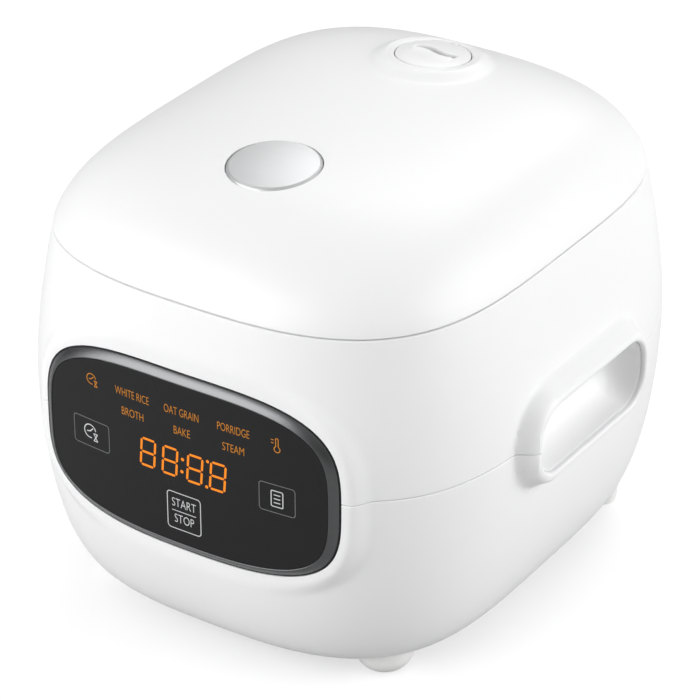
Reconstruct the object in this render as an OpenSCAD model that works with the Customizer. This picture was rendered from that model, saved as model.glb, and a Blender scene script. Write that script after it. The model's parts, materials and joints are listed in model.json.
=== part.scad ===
// Countertop multi cooker with a hinged lid, removable pot, touch panel and recessed side grips.
// Millimetres. +Z is up, the front with the control panel faces -Y, the table is at z = 0.

/* [Body] */
// Width of the body at its widest, without the grips
body_w = 225; // [187:1:270]
// Depth of the body at its widest
body_d = 261; // [217:1:314]
// Height of the seam between the lower and upper shells
seam_z = 102.5; // [95:0.5:108]
// Height of the seam between the body and the lid
rim_z = 171; // [165:0.5:206]
// Height of the lid's crown above its seam
crown_h = 37.6; // [35:0.1:46]
// Height of the underside of the body above the table
base_z = 9; // [7.5:0.5:11]
// Wall thickness of the moulded shells
wall = 2.4; // [2:0.1:3]

/* [Grips] */
// Length of a grip's opening
grip_w = 86; // [71:1:104]
// Height of a grip's opening
grip_h = 31.5; // [28:0.5:38]
// How far a grip's rim stands out from the body
grip_proud = 7; // [5:0.5:9]
// Depth of a grip's pocket
grip_depth = 19; // [15:1:21]

/* [Control panel] */
// Width of the panel with its frame
panel_w = 146; // [122:1:160]
// Height of the panel with its frame
panel_h = 84; // [70:1:92]
// Width of the metal frame round the glass
bezel_w = 4.7; // [4:0.1:6]

/* [Pot] */
// Gap from the side of the body to the pot's outer wall
pot_gap = 25; // [24:1:32]
// Gap from the front or back of the body to the pot's outer wall, where that is the tighter one
pot_end_gap = 42; // [41:1:50]
// Thickness of the pot
pot_wall = 2; // [1.5:0.1:3]
// Height of the pot's underside above the body's underside
pot_lift = 43; // [41:1:52]
// Radius of the heating plate
heater_r = 70; // [58:1:78]

/* [Lid fittings] */
// Radius of the push button
button_r = 20.2; // [16.8:0.1:24.3]
// Travel of the push button
button_travel = 3.4; // [2.5:0.1:4]
// Radius of the steam vent's cap
vent_r = 16.8; // [14:0.1:20.2]
// Radius of the hinge pin
hinge_pin_r = 2.2; // [1.8:0.1:2.7]

/* [Hidden] */
$fn = 96;
ring_points = 64;      // points round each shell outline
eps = 0.01;            // overlap that makes a clean cut
fit_gap = 0.2;         // gap between pieces that are fixed together
move_gap = 0.35;       // gap between pieces that move past each other
seam_gap = 0.6;        // open line between the lid and the body
shell_gap = 0.3;       // open line between the two body shells
screw_r = 1.4;
screw_hole_r = 1.6;
base_screw_head = 2.9;
lid_screw_head = 2.4;
head_sink = 1.2;       // how deep a base screw's head is let in

// Shape of the body
half_w = body_w / 2;
half_d = body_d / 2;
rim_in = [9.5, 7.6];  // how far the wall leans in at the lid's seam, across and along
rim_curve = 1.6;       // how late that lean comes
bowl_in = 31.7;        // how far the underside's flat stands in from the widest outline
bowl_curve = [1.87, 2.82];
plan_n = [2.82, 3.78]; // roundness of the outline, across and along
crown_n = [3.34, 4.31];// roundness of the lid's upper outlines
crown_curve = [5.47, 1.353];
crown_fall = [0.176, 0.068]; // how much the crown falls away to the sides and the ends
crown_peak_y = 17.7;

// Grips and panel
grip_x = half_w + grip_proud;
grip_z = seam_z;
grip_corner = 13.5;
grip_rim = 5;
grip_wall = 1.8;
panel_z = seam_z - 2.8;
panel_n = 3.3;
panel_bow_r = 550;     // radius of the panel's bow, seen from above
panel_in = 3.6;         // how far the panel's face stands in from the widest outline
bezel_y = half_d - panel_in;
bezel_deep = 7;
glass_t = 2;
window_proud = 1.9;     // how far the window stands out from the frame's outer edge
frame_land = 0.3;       // flat strip at each edge of the frame's slope
pad_rim = 3.5;         // width of the white rim round the panel
pad_deep = 10;

// Pot and heater
pot_r = min(half_w - pot_gap, half_d - pot_end_gap);
pot_floor_z = base_z + pot_lift;
deck_z = rim_z - 9;
deck_t = 3;
flange_r = pot_r + 7;
flange_t = 2.2;
deck_lip = 1;
pot_top_z = deck_z + deck_lip + 0.05 + flange_t;
pot_round = 20;
liner_t = 0.8;
liner_r = pot_r + 3.5;   // inside of the steel liner
heater_t = 10;
heater_gap = 0.05;
sensor_r = 14;
sensor_travel = 3;
liner_floor_z = pot_floor_z - heater_t - sensor_travel - 1;
tube_ring_r = heater_r * 0.7;
tube_r = 3.2;
terminal_z = liner_floor_z - 10;
post_r = 5;

// Lid
lid_z = rim_z + seam_gap / 2;
lid_half = [half_w - rim_in[0], half_d - rim_in[1]];
plate_z = rim_z + 1;     // underside of the plate that closes the lid
plate_t = 2;
gasket_r = pot_r + 5.5;
gasket_low = pot_top_z + 0.35;
gasket_t = 2.6;
inner_lid_r = pot_r - 1;
inner_lid_z = pot_top_z + 1.3;
inner_lid_t = 1.2;

// Button and latch
button_y = -0.4567 * half_d;
button_t = 3;
button_crown = 1;
stem_r = 4;
guide_wall = 1.8;
guide_floor = 2;
spring_shut = 4.6;     // height of the button's spring pressed flat
guide_deep = guide_floor + spring_shut + button_travel + button_t;
stem_end = guide_deep + 1.5;
latch_y = -(lid_half[1] - 15.5);
latch_z = rim_z + 10;
latch_pin_r = 1.5;
pin_post_top = latch_z + 3; // top of the posts that hold the latch's pin
latch_w = 12;
hook_low_z = deck_z - 9;
hook_t = 4;
hook_nose = 3;
hub_r = 4;
catch_w = latch_w + 8;
catch_d = 14;

// Vent
vent_y = 0.4659 * half_d;
vent_rise = 3;       // how far the collar stands above the lid
collar_crest_r = vent_r + 3.9;
collar_base_r = vent_r + 11.2;
seat_deep = 14;
seat_wall = 1.8;
tube_bore_r = 5;
groove_half = vent_r * 0.62; // half the length of the cap's finger groove
groove_wave = vent_r * 0.08;
groove_w = 3.2;
groove_deep = 1.9;
cap_top_z = 3.4;

// Hinge
hinge_z = rim_z - 13;
hinge_y = half_d - 7;
knuckle_r = 6;
arm_x = [15, 29];      // where each arm starts and ends, from the middle
bracket_x = 39;

// Feet
foot_front = [half_w - 45.5, -(half_d - 51)];
foot_rear = [half_w - 35.5, half_d - 46.2];
front_foot_r = [5.5, 12.5]; // radius of a front foot's sole and of its top
rear_foot_r = [8, 9];       // the same for a rear foot
boss_h = [6, 12];           // height of the spot above a front foot and a rear one
boss_flare = 1.3;           // how much wider a rear spot is at its top
peg_r = 2.5;                // peg that holds a foot in its hole

// Mains inlet
inlet_z = base_z + 36;
inlet_size = [27, 19.5];
inlet_hole = [23.6, 16];
inlet_face_y = half_d - 1.6;
inlet_deep = 20;
inlet_rim = 4;

// Boards
board_z = base_z + wall + 6;
board_size = [84, 54, 1.6];
carrier_y = -(half_d - 14);
carrier_t = 2;
control_y = -(half_d - 19);
glass_back_y = -(bezel_y - glass_t);
control_size = [100, 1.6, 56];
key_x = 45;
lead_r = 1.3;          // radius of an insulated lead

// ---- Outlines and lofts ----

// Distance from the middle to the outline, found by Newton steps, where a and b are its two terms
function reach(a, b, n, r = 1, i = 0) = i == 8 ? r :
    reach(a, b, n, r - (a * pow(r, n[0]) + b * pow(r, n[1]) - 1)
        / (n[0] * a * pow(r, n[0] - 1) + n[1] * b * pow(r, n[1] - 1)), i + 1);

// Point of a rounded outline with half sizes h, towards the angle t
function outline_point(h, n, t) =
    let (r = reach(pow(abs(cos(t)), n[0]), pow(abs(sin(t)), n[1]), n))
    [h[0] * r * cos(t), h[1] * r * sin(t)];

function outline(h, n, count = ring_points) = [for (i = [0:count - 1]) outline_point(h, n, 360 * i / count)];

function at_height(points, z) = [for (p = points) [p[0], p[1], z]];

function centre_of(points) = let (n = len(points)) [
    for (k = [0:2]) [for (p = points) p[k]] * [for (p = points) 1 / n]];

// Solid through a stack of rings, closed at both ends, or end to start when looped
module loft(rings, looped = false) {
    n = len(rings[0]);
    m = len(rings);
    spans = looped ? m : m - 1;
    sides = [for (j = [0:spans - 1], i = [0:n - 1])
        let (a = j * n + i, b = j * n + (i + 1) % n,
            c = ((j + 1) % m) * n + (i + 1) % n, d = ((j + 1) % m) * n + i)
        each [[a, c, b], [a, d, c]]];
    start_cap = [for (i = [0:n - 1]) [n * m, i, (i + 1) % n]];
    end_cap = [for (i = [0:n - 1]) [n * m + 1, (m - 1) * n + (i + 1) % n, (m - 1) * n + i]];
    points = [for (r = rings) each r];
    if (looped) polyhedron(points, sides);
    else polyhedron(concat(points, [centre_of(rings[0]), centre_of(rings[m - 1])]),
        concat(sides, start_cap, end_cap));
}

// How far the wall stands in from the widest outline at a height
function wall_in(z) = rim_in * pow(max(z - seam_z, 0) / (rim_z - seam_z), rim_curve);
function under_in(z) =
    let (t = min(max(seam_z - z, 0) / (seam_z - base_z), 1))
    bowl_in * (1 - pow(1 - pow(t, bowl_curve[0]), 1 / bowl_curve[1])) * [1, 1];
function half_at(z) = [half_w, half_d] - wall_in(z) - under_in(z);
function body_ring(z, inset = 0) = at_height(outline(half_at(z) - inset * [1, 1], plan_n), z);

// Height of the lid's crown over a point, where s runs from 0 at the middle to 1 at the seam
function crown_z(s, p, h, drop) = rim_z - drop
    + h * pow(max(1 - pow(s, crown_curve[0]), 0), 1 / crown_curve[1])
    * (1 - crown_fall[1] * pow((p[1] - crown_peak_y) / half_d, 2) - crown_fall[0] * pow(p[0] / half_w, 2));
function lid_ring(s, inset = 0) =
    let (n = crown_n + (plan_n - crown_n) * pow(s, 4), half = (lid_half - inset * [1, 1]) * s)
    [for (p = outline(half, n)) [p[0], p[1], max(crown_z(s, p, crown_h, inset), lid_z)]];
function lid_top_at(y) = crown_z(abs(y) / lid_half[1], [0, y], crown_h, 0);

// ---- Shared shapes ----

module tube(r_out, r_in, h) {
    difference() {
        cylinder(r = r_out, h = h);
        translate([0, 0, -eps]) cylinder(r = r_in, h = h + 2 * eps);
    }
}

// Rounded rectangle with true arcs at its corners
module rounded_rect(w, h, r) {
    square([w - 2 * r, h], center = true);
    square([w, h - 2 * r], center = true);
    for (x = [-1, 1], y = [-1, 1]) translate([x * (w / 2 - r), y * (h / 2 - r)]) circle(r = r);
}

// Round wire wound along Z
module coil(r, wire_r, h, turns, steps = 12, sides = 6) {
    count = turns * steps;
    pitch = h - 2 * wire_r;
    loft([for (j = [0:count])
        let (a = 360 * j / steps, z = wire_r + pitch * j / count)
        [for (i = [0:sides - 1]) let (b = -360 * i / sides, d = r + wire_r * cos(b))
            [d * cos(a), d * sin(a), z + wire_r * sin(b)]]]);
}

// Round cable swept through a list of points
module cable(path, r, sides = 6) {
    last = len(path) - 1;
    loft([for (j = [0:last])
        let (d = path[min(j + 1, last)] - path[max(j - 1, 0)], w = d / norm(d),
            side = cross(w, abs(w[2]) > 0.9 ? [1, 0, 0] : [0, 0, 1]), u = side / norm(side), v = cross(w, u))
        [for (i = [0:sides - 1]) path[j] + r * (u * cos(360 * i / sides) + v * sin(360 * i / sides))]]);
}

// Point of a smooth curve between p1 and p2, and the curve through a list of points
function curve_point(p0, p1, p2, p3, t) = 0.5 * (2 * p1 + (p2 - p0) * t
    + (2 * p0 - 5 * p1 + 4 * p2 - p3) * t * t + (3 * p1 - p0 - 3 * p2 + p3) * t * t * t);
function smooth(p, steps = 4) = let (last = len(p) - 1) concat(
    [for (j = [0:last - 1], k = [0:steps - 1])
        curve_point(p[max(j - 1, 0)], p[j], p[j + 1], p[min(j + 2, last)], k / steps)], [p[last]]);

// Cross-recessed pan screw, its head's underside at z = 0 and its shank below
module screw(head_r, length) {
    difference() {
        union() {
            cylinder(r = head_r, h = head_r * 0.6);
            translate([0, 0, -length]) cylinder(r = screw_r, h = length + eps);
        }
        for (a = [0, 90]) rotate(a) translate([-head_r * 0.6, -0.4, head_r * 0.25])
            cube([head_r * 1.2, 0.8, head_r]);
    }
}

// ---- Body shells ----

// Space of a side grip's cup, grown by a gap, on the +X side
module grip_space(grow, deep) {
    translate([grip_x - deep, 0, grip_z]) rotate([90, 0, 90]) linear_extrude(deep + 1)
        rounded_rect(grip_w + 2 * grow, grip_h + 2 * grow, grip_corner + grow);
}

// Raised rim that carries a side grip
module grip_pad() {
    translate([half_w - wall - 4, 0, grip_z]) rotate([90, 0, 90]) linear_extrude(grip_proud + wall + 4)
        rounded_rect(grip_w + 2 * grip_rim, grip_h + 2 * grip_rim, grip_corner + grip_rim);
}

// Panel's outline grown by a size, as a block from depth y0 to y1
module panel_block(grow, y0, y1) {
    translate([0, y1, panel_z]) rotate([90, 0, 0]) linear_extrude(y1 - y0)
        polygon(outline([panel_w / 2 + grow, panel_h / 2 + grow], [panel_n, panel_n]));
}

// Bowed slab that follows the panel's bow, its face at distance face from the middle
module bow(face, thick) {
    translate([0, panel_bow_r - face, 0]) difference() {
        translate([0, 0, base_z]) cylinder(r = panel_bow_r, h = rim_z, $fn = 256);
        if (thick < panel_bow_r) translate([0, 0, base_z - eps])
            cylinder(r = panel_bow_r - thick, h = rim_z + 2 * eps, $fn = 256);
    }
}

module panel_pad() {
    intersection() {
        panel_block(pad_rim, -half_d - 5, -half_d + 40);
        bow(bezel_y - 0.4, pad_deep);
    }
}

module shell_cuts() {
    for (s = [0, 1]) mirror([s, 0, 0]) grip_space(fit_gap, grip_depth + 30);
    panel_block(fit_gap, -half_d - 5, -half_d + 40);
}

// Everything between two heights
module slab(z0, z1) {
    translate([-half_w - 40, -half_d - 40, z0]) cube([body_w + 80, body_d + 80, z1 - z0]);
}

module shell_pads(z0, z1) {
    intersection() {
        union() {
            for (s = [0, 1]) mirror([s, 0, 0]) grip_pad();
            panel_pad();
        }
        slab(z0, z1);
    }
}

lower_zs = [1, 0.995, 0.97, 0.92, 0.83, 0.7, 0.55, 0.38, 0.2, 0];
module lower_shell() color("white") {
    top = seam_z - shell_gap / 2;
    floor_z = base_z + wall;
    outer = [for (t = lower_zs) body_ring(max(top - t * (top - base_z), base_z))];
    inner = [for (t = lower_zs) body_ring(max(top - t * (top - floor_z), floor_z), wall)];
    difference() {
        union() {
            loft(concat(outer, [for (i = [len(inner) - 1:-1:0]) inner[i]]));
            shell_pads(base_z, top);
            for (s = [0, 1]) mirror([s, 0, 0]) {
                translate([foot_front[0], foot_front[1], base_z]) cylinder(r = front_foot_r[1], h = boss_h[0]);
                translate([foot_rear[0], foot_rear[1], base_z])
                    cylinder(r1 = rear_foot_r[1], r2 = rear_foot_r[1] + boss_flare, h = boss_h[1]);
            }
            inlet_block(inlet_size + inlet_rim * [2, 2], half_d - 14, inlet_face_y - 1.2);
        }
        shell_cuts();
        inlet_block(inlet_size + fit_gap * [2, 2], half_d - 40, half_d + 5);
        for (p = screw_spots()) translate([p[0], p[1], base_z - eps]) {
            cylinder(r = screw_hole_r, h = wall + 1);
            cylinder(r = base_screw_head + move_gap, h = head_sink);
        }
        vent_slots();
        for (s = [0, 1], p = [foot_front, foot_rear]) mirror([s, 0, 0])
            translate([p[0], p[1], base_z - eps]) cylinder(r = peg_r + fit_gap, h = wall + 1);
    }
}

// Block across the back wall where the mains inlet sits, from depth y0 to y1
module inlet_block(size, y0, y1) {
    translate([0, y1, inlet_z]) rotate([90, 0, 0]) linear_extrude(y1 - y0)
        rounded_rect(size[0], size[1], 3);
}

function screw_spots() = let (ring = liner_r - 6, turn = 56)
    [for (x = [-1, 1], y = [-1, 1]) [x * ring * cos(turn), y * ring * sin(turn)]];

// Rows of cooling slots in the underside
module vent_slots() {
    for (x = [-24:8:24], y = [-48, 48]) translate([x, y, base_z - eps]) linear_extrude(wall + 1)
        rounded_rect(3, 26, 1.45);
}

module upper_shell() color("white") {
    low = seam_z + shell_gap / 2;
    top = rim_z - seam_gap / 2;
    zs = [for (t = [0, 0.2, 0.4, 0.6, 0.8, 1]) low + t * (top - low)];
    outer = [for (z = zs) body_ring(z)];
    inner = [for (i = [len(zs) - 1:-1:0]) body_ring(zs[i], wall)];
    difference() {
        union() {
            loft(concat(outer, inner), looped = true);
            shell_pads(low, top);
        }
        shell_cuts();
        hinge_window(fit_gap);
    }
}

// Opening at the back for the hinge
module hinge_window(grow) {
    translate([-bracket_x - grow, hinge_y - 18, hinge_z - 11]) cube([2 * (bracket_x + grow), 40, 60]);
}

module rim_deck() color("gainsboro") {
    difference() {
        translate([0, 0, deck_z - deck_t]) linear_extrude(deck_t)
            polygon(outline(half_at(deck_z) - (wall + 0.5) * [1, 1], plan_n));
        translate([0, 0, deck_z - deck_t - eps]) cylinder(r = liner_r + liner_t + fit_gap, h = deck_t + 1);
        translate([-catch_w / 2 - fit_gap, latch_y - hook_t - 3, deck_z - deck_t - eps])
            cube([catch_w + 2 * fit_gap, catch_d + 2 * fit_gap, deck_t + 1]);
        hinge_window(fit_gap);
    }
    translate([0, 0, deck_z - deck_t]) difference() {
        cylinder(r = liner_r + liner_t + 3.2, h = deck_t + deck_lip);
        translate([0, 0, -eps]) cylinder(r = liner_r + liner_t + fit_gap, h = deck_t + 2);
    }
}

module grip_cup() color("whitesmoke") {
    difference() {
        grip_space(0, grip_depth + grip_wall);
        grip_space(-grip_wall, grip_depth);
        translate([grip_x - 0.6, -half_d, 0]) cube([10, body_d, rim_z]);
    }
}
module grip_cup_right() grip_cup();
module grip_cup_left() mirror([1, 0, 0]) grip_cup();

// ---- Feet and base screws ----

// Front foot: a soft dome with a small flat sole
module foot_dome() color("whitesmoke") translate([foot_front[0], foot_front[1], 0]) {
    round_r = front_foot_r[1] - front_foot_r[0];
    rotate_extrude() intersection() {
        union() {
            square([front_foot_r[0], base_z]);
            translate([front_foot_r[0], round_r]) circle(r = round_r);
            translate([0, round_r]) square([front_foot_r[1], base_z]);
        }
        square([front_foot_r[1], base_z - 0.05]);
    }
    foot_peg();
}
// Rear foot: a flared post with a wide flat sole
module foot_post() color("whitesmoke") translate([foot_rear[0], foot_rear[1], 0]) {
    cylinder(r1 = rear_foot_r[0], r2 = rear_foot_r[1], h = base_z - 0.05);
    foot_peg();
}
module foot_peg() translate([0, 0, base_z - 0.1]) cylinder(r = peg_r, h = wall + 0.1);
module foot_front_left() mirror([1, 0, 0]) foot_dome();
module foot_front_right() foot_dome();
module foot_rear_left() mirror([1, 0, 0]) foot_post();
module foot_rear_right() foot_post();

module base_screws() color("silver")
    for (p = screw_spots()) translate([p[0], p[1], base_z + head_sink - 0.1]) rotate([180, 0, 0])
        screw(base_screw_head, 9);

// ---- Pot, heater and liner ----

module steel_liner() color("silver") difference() {
    union() {
        translate([0, 0, liner_floor_z - liner_t]) tube(liner_r + liner_t, liner_r, deck_z - liner_floor_z);
        translate([0, 0, liner_floor_z - liner_t]) cylinder(r = liner_r + eps, h = liner_t);
    }
    for (x = [-1, 1]) translate([x * tube_ring_r, 0, liner_floor_z - 2]) cylinder(r = 6, h = 4);
    for (p = screw_spots()) translate([p[0], p[1], liner_floor_z - 2]) cylinder(r = screw_hole_r, h = 4);
}

module liner_posts() color("gainsboro") for (p = screw_spots())
    translate([p[0], p[1], base_z + wall])
        tube(post_r, screw_hole_r, liner_floor_z - liner_t - base_z - wall);

module heating_plate() color("silver") difference() {
    union() {
        translate([0, 0, pot_floor_z - heater_gap - heater_t]) cylinder(r = heater_r, h = heater_t);
        for (a = [45:90:315]) rotate(a) translate([heater_r - 10, 0, liner_floor_z])
            cylinder(r = 4, h = heater_t);
    }
    translate([0, 0, pot_floor_z - heater_t - 1]) cylinder(r = sensor_r + move_gap, h = heater_t + 2);
    translate([0, 0, pot_floor_z - heater_t]) rotate_extrude()
        translate([tube_ring_r, 0]) circle(r = tube_r + 0.15);
}

module heating_tube() color("dimgray") {
    translate([0, 0, pot_floor_z - heater_t]) {
        rotate_extrude() translate([tube_ring_r, 0]) circle(r = tube_r);
        for (x = [-1, 1]) translate([x * tube_ring_r, 0, terminal_z - pot_floor_z + heater_t])
            cylinder(r = 2, h = pot_floor_z - heater_t - terminal_z - 2);
    }
}

module thermal_fuse() color("whitesmoke") translate([0, -heater_r * 0.6, liner_floor_z - liner_t - 4.1]) {
    translate([-9, 0, 0]) rotate([0, 90, 0]) cylinder(r = 3, h = 18);
    translate([-12, -4, 3.1]) cube([24, 8, 0.9]);
}

module inner_pot() color("dimgray") {
    r = pot_r;
    w = pot_wall;
    difference() {
        union() {
            translate([0, 0, pot_floor_z]) pot_solid(r, pot_round, pot_top_z - pot_floor_z);
            translate([0, 0, pot_top_z - flange_t]) cylinder(r = flange_r, h = flange_t);
        }
        translate([0, 0, pot_floor_z + w]) pot_solid(r - w, pot_round - w, pot_top_z - pot_floor_z);
    }
}

// Upright cylinder with a rounded lower edge
module pot_solid(r, round_r, h) {
    translate([0, 0, round_r]) cylinder(r = r, h = h - round_r);
    cylinder(r = r - round_r, h = h);
    translate([0, 0, round_r]) rotate_extrude() translate([r - round_r, 0]) circle(r = round_r);
}

module sensor_cup() color("silver") translate([0, 0, pot_floor_z - 0.35 - heater_t]) difference() {
    cylinder(r = sensor_r, h = heater_t);
    translate([0, 0, -eps]) cylinder(r = sensor_r - 1.2, h = heater_t - 1.2);
}

module sensor_spring() color("silver")
    translate([0, 0, liner_floor_z + 0.05]) coil(9, 0.7, pot_floor_z - 0.35 - 1.4 - liner_floor_z - 0.1, 5);

// ---- Control panel ----

// Bowed ring that follows the panel's outline grown by a size, its middle at distance face
function panel_ring(grow, face) = [
    for (p = outline([panel_w / 2 + grow, panel_h / 2 + grow], [panel_n, panel_n]))
        [p[0], panel_bow_r - sqrt(pow(panel_bow_r, 2) - pow(p[0], 2)) - face, panel_z + p[1]]];

// Frame whose front slopes back from the window to its outer edge
module panel_bezel() color("lightgray") difference() {
    union() {
        intersection() {
            panel_block(0, -half_d - 5, -half_d + 40);
            bow(bezel_y, bezel_deep);
        }
        loft([panel_ring(-frame_land, bezel_y - 0.2),
            panel_ring(frame_land - bezel_w, bezel_y + window_proud)]);
    }
    panel_block(-bezel_w, -half_d - 6, -half_d + 41);
}

module panel_glass() color("#26282c") intersection() {
    panel_block(-bezel_w - 0.05, -half_d - 5, -half_d + 40);
    bow(bezel_y + window_proud - 0.1, glass_t + window_proud);
}

module panel_carrier() color("#303236") difference() {
    panel_block(-bezel_w - 3, carrier_y, carrier_y + carrier_t);
    translate([-26, carrier_y - 1, panel_z - 10]) cube([52, carrier_t + 2, 20]);
    for (x = [-1, 1]) translate([x * key_x, carrier_y - 1, panel_z]) rotate([-90, 0, 0])
        cylinder(r = 6, h = 4);
    translate([0, carrier_y - 1, panel_z - 24]) rotate([-90, 0, 0]) cylinder(r = 6, h = 4);
}

module control_board() color("darkgreen")
    translate([-control_size[0] / 2, control_y, panel_z - control_size[2] / 2]) cube(control_size);

module display_module() color("orangered")
    translate([-25, glass_back_y + 1.2, panel_z - 9]) cube([50, control_y - glass_back_y - 1.3, 18]);

module touch_springs() color("gold")
    for (p = [[-key_x, 0], [key_x, 0], [0, -24]]) translate([p[0], glass_back_y + 2.9, panel_z + p[1]])
        rotate([-90, 0, 0]) tube(4, 3, control_y - glass_back_y - 3);

// ---- Power parts ----

module power_board() color("darkgreen")
    translate([-board_size[0] / 2, -board_size[1] / 2, board_z]) cube(board_size);

module board_posts() color("gainsboro") for (x = [-1, 1], y = [-1, 1])
    translate([x * (board_size[0] / 2 - 5), y * (board_size[1] / 2 - 5), base_z + wall])
        cylinder(r = 3, h = board_z - base_z - wall);

module transformer() color("#3a3a3a") translate([-26, 0, board_z + board_size[2]]) {
    translate([-11, -9, 0]) cube([22, 18, 4]);
    translate([-9, -7.5, 4 - eps]) cube([18, 15, 9]);
    translate([-11, -9, 13 - 2 * eps]) cube([22, 18, 3]);
}

module relay() color("#2f5fa8") translate([18, 4, board_z + board_size[2]]) cube([19, 15, 13]);

module filter_capacitor() color("#444444")
    translate([8, -14, board_z + board_size[2]]) cylinder(r = 6, h = 14);

module mains_inlet() color("#222222") difference() {
    union() {
        inlet_block(inlet_size, inlet_face_y - inlet_deep, inlet_face_y);
        inlet_block(inlet_size + (inlet_rim - 1) * [2, 2], inlet_face_y - 1, inlet_face_y + 1);
    }
    inlet_block(inlet_hole, inlet_face_y - inlet_deep + 3, inlet_face_y + 5);
}

module inlet_pins() color("gold")
    for (p = [[-7, -2], [7, -2], [0, 3]])
        translate([p[0] - 1, inlet_face_y - inlet_deep + 3, inlet_z + p[1] - 2])
        cube([2, inlet_deep - 7, 4]);

module mains_leads() color("brown") for (x = [-1, 1])
    cable(smooth([[x * 7, inlet_face_y - inlet_deep - 0.1, inlet_z], [x * 8, half_d - 30, inlet_z - 2],
        [x * 14, half_d - 46, liner_floor_z - 12], [x * 16, 40, board_z + 6],
        [x * 16, 24, board_z + 3]]), lead_r);

module heater_leads() color("firebrick") for (x = [-1, 1])
    cable(concat([[x * tube_ring_r, 0, terminal_z - 0.1]], smooth([[x * tube_ring_r, 0, terminal_z - 1.2],
        [x * tube_ring_r, 1, terminal_z - 3], [x * (tube_ring_r - 4), 11, terminal_z - 5.5],
        [x * 37, 21, board_z + 5.5], [x * 34, 24, board_z + 3]])), lead_r);

module panel_cable() color("lightgray") {
    cable(smooth([[30, control_y + control_size[1] + 1.6, panel_z - 22], [30, control_y + 7, panel_z - 34],
        [30, -liner_r - liner_t - 8, liner_floor_z - 5], [26, -62, board_z + 12],
        [24, -22, board_z + 3.2]]), lead_r);
}

// ---- Hinge ----

// Row of knuckles along X, from x0 to x1, bored for the pin
module knuckle(x0, x1, r) {
    translate([x0, hinge_y, hinge_z]) rotate([0, 90, 0]) cylinder(r = r, h = x1 - x0);
}

module hinge_bracket() color("gainsboro") difference() {
    union() {
        translate([-bracket_x, hinge_y - 17.5, hinge_z - 10.5]) cube([2 * bracket_x, 17, 3]);
        translate([-bracket_x, hinge_y - 17.5, hinge_z - 10.5])
            cube([2 * bracket_x, 2, rim_z - hinge_z + 10]);
        for (k = [[-bracket_x, -arm_x[1] - move_gap], [-arm_x[0] + move_gap, arm_x[0] - move_gap],
                [arm_x[1] + move_gap, bracket_x]]) {
            knuckle(k[0], k[1], knuckle_r);
            translate([k[0], hinge_y - 6, hinge_z - 10.5]) cube([k[1] - k[0], 6, 10.5]);
        }
    }
    knuckle(-bracket_x - 1, bracket_x + 1, hinge_pin_r + 0.02);
}

module hinge_pin() color("silver") knuckle(-bracket_x + 1, bracket_x - 1, hinge_pin_r);

module hinge_springs() color("silver") for (s = [-1, 1])
    translate([s * 7 - 4, hinge_y - 11, hinge_z - 1]) rotate([0, 90, 0]) coil(2.6, 0.6, 8, 5, 10, 5);

module hinge_arms() color("white") difference() {
    for (s = [0, 1]) mirror([s, 0, 0]) {
        knuckle(arm_x[0], arm_x[1], knuckle_r);
        translate([arm_x[1], 0, 0]) rotate([0, -90, 0]) linear_extrude(arm_x[1] - arm_x[0])
            polygon([[hinge_z, hinge_y - 6], [hinge_z + 4, hinge_y + 4.4], [plate_z - 1.4, hinge_y - 4.6],
                [plate_z - 0.05, hinge_y - 6.4], [plate_z - 0.05, hinge_y - 14], [hinge_z + 8, hinge_y - 14]]);
    }
    knuckle(-bracket_x - 1, bracket_x + 1, hinge_pin_r + 0.08);
}

// ---- Lid ----

function surface_tilt(y, r) = atan((lid_top_at(y + r) - lid_top_at(y - r)) / (2 * r));

// Frame of a fitting let into the crown, its z = 0 on the crown and its z along the crown's normal
module on_crown(y, r) translate([0, y, lid_top_at(y)]) rotate([surface_tilt(y, r), 0, 0]) children();

crown_steps = [0.1, 0.3, 0.5, 0.64, 0.76, 0.85, 0.91, 0.95, 0.98, 0.995, 1];
module lid_shell() color("white") difference() {
    union() {
        loft(concat([for (s = crown_steps) lid_ring(s, wall)],
            [for (i = [len(crown_steps) - 1:-1:0]) lid_ring(crown_steps[i])]));
        on_crown(vent_y, vent_r) {
            translate([0, 0, -seat_deep]) cylinder(r = vent_r + seat_wall, h = seat_deep);
            collar();
        }
        on_crown(button_y, button_r) translate([0, 0, -guide_deep])
            cylinder(r = button_r + guide_wall, h = guide_deep - 1.4);
        for (p = lid_screw_spots()) translate([p[0], p[1], plate_z + plate_t + 0.05])
            cylinder(r = 3.5, h = p[2] - wall - plate_z - plate_t);
    }
    on_crown(vent_y, vent_r) translate([0, 0, -seat_deep - 1]) cylinder(r = vent_r, h = seat_deep + 10);
    on_crown(button_y, button_r) translate([0, 0, -guide_deep - 1])
        cylinder(r = button_r, h = guide_deep + 10);
    for (p = lid_screw_spots()) translate([p[0], p[1], plate_z]) cylinder(r = screw_r + 0.05, h = 12);
}

// Swept rise round the vent
module collar() rotate_extrude() polygon([[vent_r - 1, -2], [collar_base_r, -1.4], [vent_r + 7.5, 0.9],
    [collar_crest_r + 0.9, 2.5], [collar_crest_r, vent_rise], [collar_crest_r - 1, vent_rise - 0.1],
    [vent_r, vent_rise - 1.6], [vent_r - 1, vent_rise - 1.6]]);

// Screws of the lid, each with the height of the crown above it
function lid_screw_spots() =
    let (x = gasket_r - 7, y = lid_half[1] - 21, side_z = crown_z(x / lid_half[0], [x, 0], crown_h, 0))
    [[-x, 0, side_z], [x, 0, side_z], [0, y, lid_top_at(y)]];

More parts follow.
